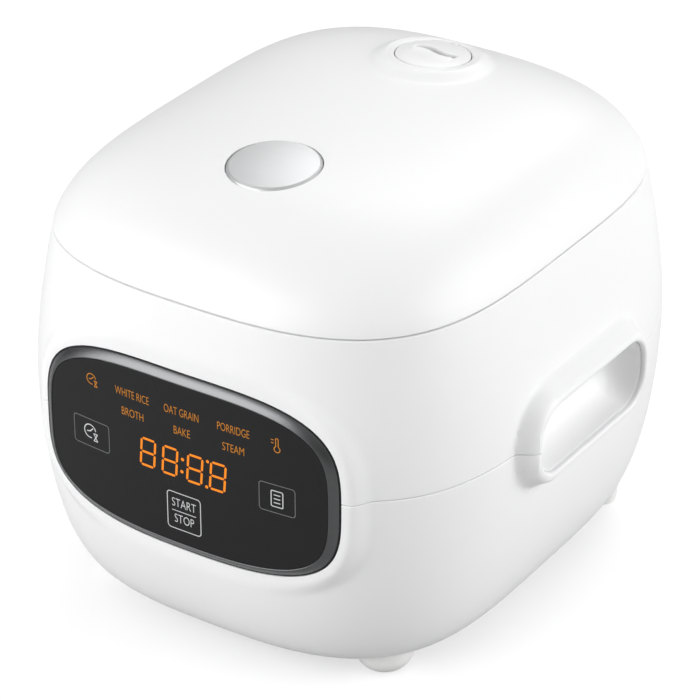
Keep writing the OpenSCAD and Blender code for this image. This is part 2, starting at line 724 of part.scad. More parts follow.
module lid_liner() color("gainsboro") difference() {
    union() {
        translate([0, 0, plate_z]) linear_extrude(plate_t)
            polygon(outline(lid_half - (wall + 2.6) * [1, 1], plan_n));
        translate([0, 0, gasket_low + gasket_t + 0.05])
            tube(gasket_r, gasket_r - 4, plate_z - gasket_low - gasket_t);
        translate([0, 0, inner_lid_z + inner_lid_t + 0.05])
            cylinder(r = 9, h = plate_z - inner_lid_z - inner_lid_t);
        for (s = [0, 1]) mirror([s, 0, 0]) translate([latch_w / 2 + 5.2, latch_y - 4, plate_z])
            cube([2.5, 8, pin_post_top - plate_z]);
    }
    for (p = lid_screw_spots()) translate([p[0], p[1], plate_z - 1])
        cylinder(r = screw_hole_r, h = plate_t + 2);
    translate([-latch_w / 2 - 1, latch_y - 8, plate_z - 1]) cube([latch_w + 2, 16, plate_t + 2]);
    translate([-20, latch_y, latch_z]) rotate([0, 90, 0]) cylinder(r = latch_pin_r + 0.02, h = 40);
    on_crown(vent_y, vent_r) translate([0, 0, plate_z - 6 - lid_top_at(vent_y)])
        cylinder(r = tube_bore_r + 1.8, h = plate_t + 12);
}

module inner_lid() color("silver") difference() {
    translate([0, 0, inner_lid_z]) cylinder(r = inner_lid_r, h = inner_lid_t);
    translate([0, vent_y, inner_lid_z - 1]) cylinder(r = tube_bore_r, h = 4);
    for (a = [30:60:330]) rotate(a) translate([44, 0, inner_lid_z - 1]) cylinder(r = 2, h = 4);
}

module lid_gasket() color("whitesmoke") translate([0, 0, gasket_low]) difference() {
    cylinder(r = gasket_r, h = gasket_t);
    translate([0, 0, -1]) cylinder(r = gasket_r - 8, h = gasket_t + 2);
    translate([0, 0, inner_lid_z - gasket_low - 0.05]) cylinder(r = inner_lid_r + 0.1, h = inner_lid_t + 0.1);
}

module lid_screws() color("silver")
    for (p = lid_screw_spots()) translate([p[0], p[1], plate_z - 0.02]) rotate([180, 0, 0])
        screw(lid_screw_head, 10);

// ---- Steam vent ----

module vent_seat() color("gainsboro") on_crown(vent_y, vent_r) difference() {
    union() {
        translate([0, 0, -seat_deep]) cylinder(r = vent_r - 0.05, h = 2);
        translate([0, 0, plate_z + 0.5 - lid_top_at(vent_y)])
            cylinder(r = tube_bore_r + 1.5, h = lid_top_at(vent_y) - plate_z - seat_deep);
    }
    translate([0, 0, -60]) cylinder(r = tube_bore_r, h = 80);
}

module vent_grommet() color("#c9c9c4") on_crown(vent_y, vent_r)
    translate([0, 0, plate_z + plate_t + 1.2 - lid_top_at(vent_y)])
        tube(tube_bore_r + 5.5, tube_bore_r + 1.55, 3);

module vent_cap() color("white") on_crown(vent_y, vent_r) difference() {
    rotate_extrude() polygon([[0, -1], [vent_r - move_gap, -1], [vent_r - move_gap, 1.6],
        [vent_r - 1.4, 2.6], [vent_r * 0.6, cap_top_z - 0.2], [0, cap_top_z]]);
    translate([0, 0, cap_top_z - groove_deep]) linear_extrude(2 * groove_deep) finger_groove();
}

// Waved slot across the cap that a fingertip lifts it by
module finger_groove(count = 10) {
    near = [for (i = [-count:count]) [groove_half * i / count, -groove_wave * sin(180 * i / count)]];
    far = [for (i = [1 - count:count - 1])
        near[count - i] + [0, groove_w * sqrt(1 - pow(i / count, 2))]];
    polygon(concat(near, far));
}

module vent_cap_base() color("gainsboro") on_crown(vent_y, vent_r) translate([0, 0, -10]) difference() {
    tube(vent_r - 4, vent_r - 5.6, 8.95);
    for (a = [0:45:135]) rotate(a) translate([-30, -2, 2]) cube([60, 4, 4]);
}

// ---- Button and latch ----

module button_guide() color("gainsboro") on_crown(button_y, button_r) translate([0, 0, -guide_deep])
    tube(button_r - 0.05, stem_r + move_gap, guide_floor);

module button_spring() color("silver") on_crown(button_y, button_r)
    translate([0, 0, guide_floor - guide_deep + 0.05])
        coil(7, 0.6, guide_deep - guide_floor - button_t - 0.1, 5);

module button_cap() color("silver") on_crown(button_y, button_r) {
    rotate_extrude() polygon([[0, -button_t], [button_r - move_gap, -button_t], [button_r - move_gap, -0.9],
        [button_r - 1.2, 0.1], [button_r * 0.6, button_crown * 0.75], [0, button_crown]]);
    translate([0, 0, -stem_end]) cylinder(r = stem_r, h = stem_end - button_t + eps);
}

// Height of the stem's end, where the lever's arm waits
arm_top_z = lid_top_at(button_y) - stem_end - move_gap - 0.6;
module latch_lever() color("#b8b8b8") difference() {
    union() {
        translate([-latch_w / 2, latch_y, latch_z]) rotate([0, 90, 0]) cylinder(r = hub_r, h = latch_w);
        translate([latch_w / 2, 0, 0]) rotate([0, -90, 0]) linear_extrude(latch_w) polygon([
            [latch_z + 3, latch_y - 2], [arm_top_z, button_y - 5], [arm_top_z, button_y + 5],
            [arm_top_z - 3, button_y + 5], [latch_z - 2, latch_y + 3]]);
        translate([-latch_w / 2, latch_y - hook_t / 2, hook_low_z])
            cube([latch_w, hook_t, latch_z - hook_low_z]);
        translate([latch_w / 2, 0, 0]) rotate([0, -90, 0]) linear_extrude(latch_w) polygon([
            [hook_low_z, latch_y], [hook_low_z, latch_y + 2],
            [hook_low_z + 4, latch_y + hook_t / 2 + hook_nose],
            [hook_low_z + 5, latch_y + hook_t / 2 + hook_nose], [hook_low_z + 5, latch_y]]);
    }
    translate([-latch_w, latch_y, latch_z]) rotate([0, 90, 0])
        cylinder(r = latch_pin_r + 0.08, h = 2 * latch_w);
}

module latch_pin() color("silver")
    translate([-latch_w / 2 - 7.6, latch_y, latch_z]) rotate([0, 90, 0])
        cylinder(r = latch_pin_r, h = latch_w + 15.2);

module latch_spring() color("silver")
    translate([latch_w / 2 + 0.5, latch_y, latch_z]) rotate([0, 90, 0]) coil(2.4, 0.45, 4.4, 3, 10, 5);

// Steel frame in the deck that the hook passes through
module latch_catch() color("silver")
    translate([-catch_w / 2, latch_y - hook_t - 3 + fit_gap, deck_z - deck_t])
    difference() {
        cube([catch_w, catch_d, deck_t]);
        translate([(catch_w - latch_w) / 2 - 1, 1.5, -1])
            cube([latch_w + 2, hook_t * 1.5 + hook_nose + 1.5 + move_gap - fit_gap, deck_t + 2]);
    }

lower_shell();
upper_shell();
rim_deck();
grip_cup_left();
grip_cup_right();
foot_front_left();
foot_front_right();
foot_rear_left();
foot_rear_right();
base_screws();
steel_liner();
liner_posts();
heating_plate();
heating_tube();
thermal_fuse();
inner_pot();
panel_bezel();
panel_glass();
panel_carrier();
control_board();
display_module();
touch_springs();
power_board();
board_posts();
transformer();
relay();
filter_capacitor();
mains_inlet();
inlet_pins();
mains_leads();
heater_leads();
panel_cable();
hinge_bracket();
hinge_pin();
hinge_springs();
latch_catch();
sensor_spring();
sensor_cup();
lid_shell();
lid_liner();
inner_lid();
lid_gasket();
hinge_arms();
lid_screws();
vent_seat();
vent_grommet();
vent_cap();
vent_cap_base();
button_guide();
button_spring();
button_cap();
latch_lever();
latch_pin();
latch_spring();
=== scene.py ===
# Looks for the countertop multi cooker: finished surfaces over the CAD frame.
import json
import bmesh
import bpy
import numpy as np
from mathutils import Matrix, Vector


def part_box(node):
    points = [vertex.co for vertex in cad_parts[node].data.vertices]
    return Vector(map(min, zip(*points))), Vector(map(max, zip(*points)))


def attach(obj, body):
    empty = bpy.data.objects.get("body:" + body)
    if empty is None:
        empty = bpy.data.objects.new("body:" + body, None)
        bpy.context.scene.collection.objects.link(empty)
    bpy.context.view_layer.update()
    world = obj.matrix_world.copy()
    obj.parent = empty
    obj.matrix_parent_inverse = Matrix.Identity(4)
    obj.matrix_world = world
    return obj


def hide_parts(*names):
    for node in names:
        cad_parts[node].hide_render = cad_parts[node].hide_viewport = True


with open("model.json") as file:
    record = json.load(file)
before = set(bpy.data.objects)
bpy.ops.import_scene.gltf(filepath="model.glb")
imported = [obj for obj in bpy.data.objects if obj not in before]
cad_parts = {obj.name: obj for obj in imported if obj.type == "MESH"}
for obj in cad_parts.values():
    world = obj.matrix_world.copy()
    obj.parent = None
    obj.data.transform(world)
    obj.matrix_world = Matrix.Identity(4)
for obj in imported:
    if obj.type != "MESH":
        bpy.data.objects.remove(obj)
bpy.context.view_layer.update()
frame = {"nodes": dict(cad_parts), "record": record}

# ---- Body shells ----
# Two satin white mouldings that meet in a fine line round the widest part. The surface is drawn out
# into a raised field for the panel in front and for the grips at the sides.
GRIP_HALF = (43.0, 15.75, 13.5)
GRIP_LAND, GRIP_SLOPE = 1.9, 7.4
# All shapes are worked out in millimetres and turned into metres when a mesh is made.
MM = 0.001


def box_mm(node):
    low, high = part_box(node)
    return np.array(low) / MM, np.array(high) / MM


lid_box, cup_box = box_mm("lid_shell"), box_mm("grip_cup_right")
grip_z = (cup_box[0][2] + cup_box[1][2]) / 2
bezel_box = box_mm("panel_bezel")
panel_z = (bezel_box[0][2] + bezel_box[1][2]) / 2
panel_half = np.array([bezel_box[1][0], (bezel_box[1][2] - bezel_box[0][2]) / 2])
PANEL_N, PANEL_BOW = 3.3, 550.0
PANEL_LAND, PANEL_SLOPE = 2.6, 8.0
WINDOW_PROUD = 1.9
panel_y = bezel_box[0][1] + WINDOW_PROUD
pad_y = panel_y + 0.5


def panel_distance(x, z):
    """First-order distance outside the panel's outline."""
    u, v = np.abs(x) / panel_half[0] + 1e-9, np.abs(z - panel_z) / panel_half[1] + 1e-9
    rho = (u ** PANEL_N + v ** PANEL_N) ** (1 / PANEL_N)
    gx = (u / rho) ** (PANEL_N - 1) / panel_half[0]
    gz = (v / rho) ** (PANEL_N - 1) / panel_half[1]
    return (rho - 1) / np.hypot(gx, gz)


def box_distance(u, v, half_u, half_v, r):
    """Distance from a rounded rectangle's edge, below zero inside it."""
    du, dv = np.abs(u) - half_u + r, np.abs(v) - half_v + r
    return np.hypot(np.maximum(du, 0), np.maximum(dv, 0)) + np.minimum(np.maximum(du, dv), 0) - r


def ease(t):
    """Smooth step from 0 to 1 with level ends."""
    t = np.clip(t, 0, 1)
    return t ** 3 * (t * (6 * t - 15) + 10)


lower_box, upper_box = box_mm("lower_shell"), box_mm("upper_shell")
grip_x = upper_box[1][0]
GRIP_PROUD = 7.0
half_w, half_d = grip_x - GRIP_PROUD, lower_box[1][1]


def shape_skin(points, inset=0.0):
    """Moves body points out to the grips' land at the sides and onto the panel's field in front."""
    p = points.copy()
    x, y, z = p.T
    away = box_distance(y, z - grip_z, *GRIP_HALF)
    w = 1 - ease((away - GRIP_LAND) / GRIP_SLOPE)
    reach = np.where(np.abs(x) > half_w * 0.7, grip_x - inset - np.abs(x), 0)
    p[:, 0] = x + np.sign(x) * np.maximum(reach, 0) * w
    w = np.where(y < 0, 1 - ease((panel_distance(x, z) - PANEL_LAND) / PANEL_SLOPE), 0)
    field = pad_y + inset + x * x / (2 * PANEL_BOW)
    p[:, 1] = y + (field - y) * w
    return p


AROUND = 560


def outline(half, n, count=AROUND, n_y=None):
    """Evenly turned points of a rounded rectangle |x/a|^n + |y/b|^n_y = 1, found by Newton steps."""
    a = np.linspace(0, 2 * np.pi, count, endpoint=False)
    n_y = n + 0.973 if n_y is None else n_y
    A, B = np.abs(np.cos(a)) ** n, np.abs(np.sin(a)) ** n_y
    r = np.ones(count)
    for _ in range(12):
        r -= (A * r ** n + B * r ** n_y - 1) / (n * A * r ** (n - 1) + n_y * B * r ** (n_y - 1))
    return np.column_stack([half[0] * r * np.cos(a), half[1] * r * np.sin(a)])


BOWL_IN, LEAN_CURVE = 31.7, 1.6
LEAN = np.array([9.5, 7.6])
rim_z = (upper_box[1][2] + lid_box[0][2]) / 2
seam_z = (lower_box[1][2] + upper_box[0][2]) / 2
base_z = lower_box[0][2]


def section_at(z):
    """Half width, half depth and roundness of the body's outline at a height."""
    if z >= seam_z:
        t = (z - seam_z) / (rim_z - seam_z)
        half, n = np.array([half_w, half_d]) - LEAN * t ** LEAN_CURVE, 2.782 + 0.092 * t
    else:
        t = min((seam_z - z) / (seam_z - base_z), 1.0)
        tuck = BOWL_IN * (1 - (1 - t ** 1.87) ** (1 / 2.82))
        half, n = np.array([half_w, half_d]) - tuck, 2.782 + 0.102 * t * t
    return half, n


def body_ring(z, inset=0.0, shift=0.0, at=None):
    """Ring of the body's skin at a height, drawn in by inset; at moves its level without its shape."""
    half, n = section_at(z)
    flat = outline(half - inset, n)
    ring = np.column_stack([flat, np.full(len(flat), z)])
    ring = shape_skin(ring, inset)
    if at is not None:
        ring[:, 2] = at
    return ring


def edge_rings(z, away, radius=0.35, steps=4):
    """Rings that round a shell's edge over at a seam, away being +1 above the shell and -1 below."""
    rings = []
    for a in np.linspace(0, np.pi / 2, steps):
        rings.append(body_ring(z - away * radius * (1 - np.sin(a)), radius * (1 - np.cos(a))))
    return rings


bowl_turns = np.linspace(0, np.pi / 2, 70)
bowl_levels = [seam_z - (seam_z - base_z) * (np.sin(a) ** 2) ** (1 / 1.87) for a in bowl_turns]
lower_top, upper_low, upper_top = lower_box[1][2], upper_box[0][2], upper_box[1][2]
levels = [z for z in bowl_levels if z < lower_top - 0.5][::-1]
WALL = 2.4
floor_levels = [max(z, base_z + WALL) for z in levels[::3]]
outer = [body_ring(z) for z in levels] + edge_rings(lower_top, 1)
inner = [body_ring(z, WALL) for z in [lower_top] + floor_levels[::-1]]
centre_ring = outer[0].copy()
centre_ring[:, :2] *= 0.5


def ring_faces(rings, around, closed=False):
    """Quads between rings of points, joined round, and end to start when closed."""
    faces = []
    for j in range(rings if closed else rings - 1):
        k = (j + 1) % rings
        for i in range(around):
            m = (i + 1) % around
            faces.append((j * around + i, j * around + m, k * around + m, k * around + i))
    return faces


def stack(rings, cap_start=True, cap_end=True, closed=False):
    """Points and faces of a skin through rings of points, capped at its ends."""
    around = len(rings[0])
    faces = ring_faces(len(rings), around, closed)
    if cap_start and not closed:
        faces.append(tuple(range(around))[::-1])
    if cap_end and not closed:
        faces.append(tuple(range((len(rings) - 1) * around, len(rings) * around)))
    return np.concatenate(rings), faces


lower_points, lower_faces = stack([centre_ring] + outer + inner)

wall_levels = np.linspace(upper_low + 0.5, upper_top - 0.6, 52)
outer = edge_rings(upper_low, -1)[::-1] + [body_ring(z) for z in wall_levels] + edge_rings(upper_top, 1, 0.5)
inner = [body_ring(z, WALL) for z in np.linspace(upper_top, upper_low, 14)]
upper_points, upper_faces = stack(outer + inner, closed=True)


def tidy(mesh):
    """Joins doubled points and turns the faces outwards."""
    bm = bmesh.new()
    bm.from_mesh(mesh)
    bmesh.ops.remove_doubles(bm, verts=bm.verts, dist=1e-6)
    bmesh.ops.recalc_face_normals(bm, faces=bm.faces)
    bm.to_mesh(mesh)
    bm.free()


def cutter_from(points, faces):
    mesh = bpy.data.meshes.new("cutter")
    mesh.from_pydata((np.asarray(points, float) * MM).tolist(), [], faces)
    tidy(mesh)
    obj = bpy.data.objects.new("cutter", mesh)
    bpy.context.scene.collection.objects.link(obj)
    return obj


def rounded_rect(half_u, half_v, r, steps=16):
    """Points of a rounded rectangle, anticlockwise from its right-hand side."""
    points = []
    for k, (su, sv) in enumerate([(1, 1), (-1, 1), (-1, -1), (1, -1)]):
        for a in np.linspace(k * np.pi / 2, (k + 1) * np.pi / 2, steps):
            points.append([su * (half_u - r) + r * np.cos(a), sv * (half_v - r) + r * np.sin(a)])
    return np.array(points)


def grip_cutter(side):
    ring = rounded_rect(*[v + 1.2 for v in GRIP_HALF])
    rings = [np.column_stack([np.full(len(ring), side * x), ring[:, 0], ring[:, 1] + grip_z])
             for x in (88, 130)]
    return cutter_from(*stack(rings))


def panel_cutter(grow):
    flat = outline(panel_half + grow, PANEL_N, 240, PANEL_N)
    rings = [np.column_stack([flat[:, 0], np.full(len(flat), y), flat[:, 1] + panel_z]) for y in (-150, -95)]
    return cutter_from(*stack(rings))


def block_cutter(low, high):
    points = [(x, y, z) for z in (low[2], high[2]) for y in (low[1], high[1]) for x in (low[0], high[0])]
    faces = [(0, 2, 3, 1), (4, 5, 7, 6), (0, 1, 5, 4), (2, 6, 7, 3), (0, 4, 6, 2), (1, 3, 7, 5)]
    return cutter_from(points, faces)


PANEL_GAP = 0.35
bracket_box, inlet_box = box_mm("hinge_bracket"), box_mm("mains_inlet")

# Fine noise that breaks up the colour, the roughness and the relief of every surface.
grain_group = bpy.data.node_groups.new("moulded_grain", "ShaderNodeTree")
for socket, kind in [("Low Colour", "NodeSocketColor"), ("High Colour", "NodeSocketColor"),
                     ("Low Roughness", "NodeSocketFloat"), ("High Roughness", "NodeSocketFloat"),
                     ("Grain", "NodeSocketFloat"), ("Stretch", "NodeSocketVector"),
                     ("Relief", "NodeSocketFloat"), ("Depth", "NodeSocketFloat")]:
    grain_group.interface.new_socket(socket, in_out="INPUT", socket_type=kind)
for socket, kind in [("Colour", "NodeSocketColor"), ("Roughness", "NodeSocketFloat"),
                     ("Normal", "NodeSocketVector")]:
    grain_group.interface.new_socket(socket, in_out="OUTPUT", socket_type=kind)
g_nodes, g_links = grain_group.nodes, grain_group.links
g_in, g_out = g_nodes.new("NodeGroupInput"), g_nodes.new("NodeGroupOutput")
g_place, g_map = g_nodes.new("ShaderNodeTexCoord"), g_nodes.new("ShaderNodeMapping")
g_fine, g_broad = g_nodes.new("ShaderNodeTexNoise"), g_nodes.new("ShaderNodeTexNoise")
g_tint, g_span = g_nodes.new("ShaderNodeMix"), g_nodes.new("ShaderNodeMapRange")
g_bump = g_nodes.new("ShaderNodeBump")
g_tint.data_type = "RGBA"
g_broad.inputs["Scale"].default_value, g_broad.inputs["Detail"].default_value = 14.0, 4.0
g_fine.inputs["Detail"].default_value = 6.0
for start, end in [(g_place.outputs["Object"], g_map.inputs["Vector"]),
                   (g_in.outputs["Stretch"], g_map.inputs["Scale"]),
                   (g_map.outputs["Vector"], g_fine.inputs["Vector"]),
                   (g_map.outputs["Vector"], g_broad.inputs["Vector"]),
                   (g_in.outputs["Grain"], g_fine.inputs["Scale"]),
                   (g_broad.outputs["Fac"], g_tint.inputs[0]),
                   (g_in.outputs["Low Colour"], g_tint.inputs[6]),
                   (g_in.outputs["High Colour"], g_tint.inputs[7]),
                   (g_in.outputs["Low Roughness"], g_span.inputs["To Min"]),
                   (g_in.outputs["High Roughness"], g_span.inputs["To Max"]),
                   (g_fine.outputs["Fac"], g_span.inputs["Value"]),
                   (g_in.outputs["Relief"], g_bump.inputs["Strength"]),
                   (g_in.outputs["Depth"], g_bump.inputs["Distance"]),
                   (g_fine.outputs["Fac"], g_bump.inputs["Height"]),
                   (g_tint.outputs[2], g_out.inputs["Colour"]),
                   (g_span.outputs["Result"], g_out.inputs["Roughness"]),
                   (g_bump.outputs["Normal"], g_out.inputs["Normal"])]:
    g_links.new(start, end)


def surface(name, colour, rough, metal=0.0, spread=0.03, rough_spread=0.06, grain=900.0, relief=0.02,
            coat=0.0, specular=0.5, stretch=(1, 1, 1), glow=None, depth=0.0002, lit=None):
    """Principled material whose colour, roughness and relief are broken up by the moulded grain."""
    mat = bpy.data.materials.new(name)
    mat.use_nodes = True
    shader = mat.node_tree.nodes["Principled BSDF"]
    broken = mat.node_tree.nodes.new("ShaderNodeGroup")
    broken.node_tree = grain_group
    for socket, value in [("Low Colour", (*[c * (1 - spread) for c in colour], 1)),
                          ("High Colour", (*[min(c * (1 + spread), 1) for c in colour], 1)),
                          ("Low Roughness", max(rough - rough_spread, 0.02)),
                          ("High Roughness", min(rough + rough_spread, 1.0)), ("Grain", grain),
                          ("Stretch", stretch), ("Relief", relief), ("Depth", depth)]:
        broken.inputs[socket].default_value = value
    for socket, end in [("Colour", "Base Color"), ("Roughness", "Roughness"), ("Normal", "Normal")]:
        mat.node_tree.links.new(broken.outputs[socket], shader.inputs[end])
    shader.inputs["Metallic"].default_value = metal
    shader.inputs["Specular IOR Level"].default_value = specular
    shader.inputs["Coat Weight"].default_value = coat
    shader.inputs["Coat Roughness"].default_value = 0.12
    if glow:
        shader.inputs["Emission Color"].default_value = (*(lit or colour), 1)
        shader.inputs["Emission Strength"].default_value = glow
    return mat


white = surface("white_plastic", (0.86, 0.86, 0.865), 0.40, spread=0.01, relief=0.03, coat=0.0, specular=0.5)


def finish_piece(obj, material, body, nodes=(), sharp=32):
    mesh = obj.data
    mesh.materials.clear()
    mesh.materials.append(material)
    mesh.shade_smooth()
    mesh.set_sharp_from_angle(angle=np.radians(sharp))
    if body:
        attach(obj, body)
    if nodes:
        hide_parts(*nodes)


def make(name, points, faces, material, body, nodes=(), sharp=32, recalc=False):
    """Mesh piece from millimetre points, smooth apart from its sharp edges, riding on a CAD body."""
    mesh = bpy.data.meshes.new(name)
    mesh.from_pydata((np.asarray(points, float) * MM).tolist(), [], faces)
    obj = bpy.data.objects.new(name, mesh)
    bpy.context.scene.collection.objects.link(obj)
    if recalc:
        tidy(mesh)
    finish_piece(obj, material, body, nodes, sharp)
    return obj


lower = make("lower_shell_skin", lower_points, lower_faces, white, None, recalc=True)
slots = [block_cutter((x - 1.5, y - 13, base_z - 1), (x + 1.5, y + 13, base_z + 4))
         for x in range(-24, 25, 8) for y in (-48, 48)]
inlet_hole = block_cutter((inlet_box[0][0] + 3, 100, inlet_box[0][2] + 3),
                          (inlet_box[1][0] - 3, 140, inlet_box[1][2] - 3))


def cut(obj, *cutters):
    """Cuts solid shapes out of a piece for good, and removes the shapes."""
    for cutter in cutters:
        mod = obj.modifiers.new("cut", "BOOLEAN")
        mod.operation, mod.solver, mod.object = "DIFFERENCE", "EXACT", cutter
    bpy.context.view_layer.update()
    mesh = bpy.data.meshes.new_from_object(obj.evaluated_get(bpy.context.evaluated_depsgraph_get()))
    obj.modifiers.clear()
    obj.data = mesh
    for cutter in cutters:
        bpy.data.objects.remove(cutter)


cut(lower, grip_cutter(1), grip_cutter(-1), panel_cutter(PANEL_GAP), inlet_hole, *slots)
finish_piece(lower, white, "base", ["lower_shell"])
upper = make("upper_shell_skin", upper_points, upper_faces, white, None, recalc=True)
hinge_hole = block_cutter((bracket_box[0][0] - 0.3, 100, bracket_box[0][2] - 0.4),
                          (bracket_box[1][0] + 0.3, 140, 200))
cut(upper, grip_cutter(1), grip_cutter(-1), panel_cutter(PANEL_GAP), hinge_hole)
finish_piece(upper, white, "base", ["upper_shell"])

# ---- Grips ----
# A rolled rim leads straight into a white cup pressed in from behind, with a fine parting line just
# inside the rim. The cup is one smooth hollow that curves round to its back for the fingers.
RIM_R, CUP_GAP = 1.3, 0.4


def grip_rings(side, profile):
    """Rings of a grip's profile, each (grow, depth), for the +X or -X side."""
    rings = []
    for grow, deep in profile:
        ring = rounded_rect(*[v + grow for v in GRIP_HALF], steps=24)
        rings.append(np.column_stack([np.full(len(ring), side * (grip_x - deep)), ring[:, 0],
                                      ring[:, 1] + grip_z]))
    return rings


lip = [(1.25, 5.0), (1.25, 0.0)] + [(1.2 - RIM_R * np.sin(a), RIM_R - RIM_R * np.cos(a))
                                    for a in np.linspace(0, np.pi / 2, 10)]
lip += [(1.2 - RIM_R, 2.6), (1.2 - RIM_R - 0.2, 2.8), (1.2 - RIM_R - 0.2, 5.0)]
cup_edge = 1.2 - RIM_R - CUP_GAP
cup = [(cup_edge - 0.2, 4.6), (cup_edge, 2.6), (cup_edge - 0.1, 2.3), (cup_edge - 0.4, 2.2)]
cup += [(cup_edge - 0.6 - 12.0 * (1 - np.cos(a)) ** 1.15, 2.4 + 15.0 * np.sin(a))
        for a in np.linspace(0.02, np.pi / 2, 22)]
for side, name in ((1, "right"), (-1, "left")):
    points, faces = stack(grip_rings(side, lip), closed=True)
    make("grip_lip_" + name, points, faces, white, "base", recalc=True)
    points, faces = stack(grip_rings(side, cup), cap_start=False)
    obj = make("grip_cup_skin_" + name, points, faces, white, "base", ["grip_cup_" + name])
    if side > 0:
        obj.data.flip_normals()

# ---- Lid ----
# One white domed moulding. Its seam with the body is a fine shadow line; the crown is nearly flat
# and falls away to the sides. The button's well and the vent's well are cut through it.
lid_low = lid_box[0][2]
CROWN_H, CROWN_PEAK_Y = 37.6, 17.7


def crown(s, x, y, drop=0.0):
    h = CROWN_H * np.maximum(1 - s ** 5.473, 0) ** (1 / 1.353)
    return rim_z - drop + h * (1 - 0.068 * ((y - CROWN_PEAK_Y) / half_d) ** 2 - 0.176 * (x / half_w) ** 2)


lid_half = np.array([half_w, half_d]) - LEAN


def lid_ring(s, inset=0.0, lift=0.0):
    flat = outline((lid_half - inset) * s, 3.339 - 0.465 * s ** 4)
    z = np.maximum(crown(s, flat[:, 0], flat[:, 1], inset), lid_low + lift)
    return np.column_stack([flat, z])


def crown_at(x, y):
    """Height of the lid's skin over a point, found by halving the section scale."""
    low, high = np.full(np.shape(x), 1e-4), np.full(np.shape(x), 1.0)
    for _ in range(40):
        s = (low + high) / 2
        n = 3.339 - 0.465 * s ** 4
        over = (np.abs(x) / lid_half[0] / s) ** n + (np.abs(y) / lid_half[1] / s) ** (n + 0.973) > 1
        low, high = np.where(over, s, low), np.where(over, high, s)
    return crown((low + high) / 2, x, y)


scales = np.concatenate([np.linspace(0.04, 0.6, 36),
                         [np.sin(a) ** (2 / 5.473) for a in np.linspace(0.27, 1.5, 64)], [0.9996]])
edge = []
for a in np.linspace(np.pi / 2, 0, 4):
    ring = lid_ring(1.0, 0.5 * (1 - np.sin(a)))
    ring[:, 2] = lid_low + 0.5 * (1 - np.cos(a))
    edge.append(ring)
dome = [lid_ring(s, lift=0.5) for s in scales[::-1]]
under = [lid_ring(s, WALL) for s in scales[::4]] + [lid_ring(1.0, WALL)]
lid_points, lid_faces = stack(under + edge[::-1] + dome)
lid = make("lid_shell_skin", lid_points, lid_faces, white, None, recalc=True)

BUTTON_Y, BUTTON_R, VENT_Y, VENT_R = -59.6, 20.2, 60.8, 16.8
COLLAR_R, COLLAR_FLARE, COLLAR_RISE = 20.7, 29.5, 3.0
joints = {j["name"]: j for j in frame["record"]["behaviour"]["joints"]}


def fitting(joint, y, sign):
    """Centre and tilt of a fitting let into the crown, from its joint's axis."""
    axis = np.array(joints[joint]["axis"]) * sign
    return (0.0, y, float(crown_at(np.array(0.0), np.array(y)))), float(np.arctan2(-axis[1], axis[2]))


button_at, button_tilt = fitting("button_press", BUTTON_Y, -1)
vent_at, vent_tilt = fitting("vent_lift", VENT_Y, 1)


def lathe(profile, count=96, centre=(0, 0, 0), tilt=0.0):
    """Rings of a turned shape from (radius, height) points, about an axis tipped about X."""
    a = np.linspace(0, 2 * np.pi, count, endpoint=False)
    c, s = np.cos(tilt), np.sin(tilt)
    rings = []
    for r, h in profile:
        x, y, z = r * np.cos(a), r * np.sin(a), np.full(count, float(h))
        rings.append(np.column_stack([x, y * c - z * s, y * s + z * c]) + np.array(centre))
    return rings


cut(lid,
    cutter_from(*stack(lathe([(BUTTON_R, -30), (BUTTON_R, 12)], 160, button_at, button_tilt))),
    cutter_from(*stack(lathe([(COLLAR_FLARE, -30), (COLLAR_FLARE, 12)], 200, vent_at, vent_tilt))))
finish_piece(lid, white, "lid", ["lid_shell"])


# ---- Steam vent ----
# The lid swells into a soft collar round a round cap. The cap lifts off by a wave-shaped finger
# groove in its top. Collar and cap are the same white moulding as the lid.


def collar_height(q):
    t = np.clip((COLLAR_FLARE - q) / (COLLAR_FLARE - COLLAR_R), 0, 1)
    rise = COLLAR_RISE * (0.35 * t ** 2 + 0.65 * ease(t ** 1.3))
    return np.where(q < COLLAR_R, COLLAR_RISE - 0.4 * ((COLLAR_R - q) / 2.0) ** 2, rise)


def on_crown(q, a, rise, centre, tilt):
    """Points round a fitting's axis that follow the crown, lifted along the axis by rise."""
    c, s = np.cos(tilt), np.sin(tilt)
    x, y = q * np.cos(a), centre[1] + q * np.sin(a) * c - rise * s
    z = crown_at(x, centre[1] + q * np.sin(a) * c) + rise * c
    return np.column_stack([x, y, z])


turn = np.linspace(0, 2 * np.pi, 200, endpoint=False)
rings = [on_crown(q, turn, float(collar_height(q)), vent_at, vent_tilt)
         for q in np.concatenate([np.linspace(COLLAR_FLARE + 0.15, COLLAR_R, 30), [20.2, 19.7, 19.2]])]
crest = lathe([(18.3, 2.66), (17.6, 2.5), (17.15, 2.3), (16.93, 2.0), (16.87, 1.6), (16.85, -6)], 200,
              vent_at, vent_tilt)
points, faces = stack(rings + crest, cap_start=False, cap_end=False)
make("vent_collar", points, faces, white, "lid", sharp=60)
white_matt = surface("white_matt_plastic", (0.80, 0.80, 0.80), 0.5, spread=0.02, relief=0.06)


def turned(name, profile, material, body, nodes=(), count=96, centre=(0, 0, 0), tilt=0.0,
           closed=False, sharp=32):
    points, faces = stack(lathe(profile, count, centre, tilt), closed=closed)
    return make(name, points, faces, material, body, nodes, sharp, recalc=True)


turned("vent_well", [(0, -13.4), (16.8, -13.4), (16.8, 0), (18.6, 0), (18.6, -15), (0, -15)], white_matt,
       "lid", ["vent_seat"], centre=vent_at, tilt=vent_tilt)

CAP_R, CAP_TOP, CAP_EDGE = VENT_R - 0.35, 3.2, 0.45
GROOVE_D, GROOVE_END = 5.2, 0.68


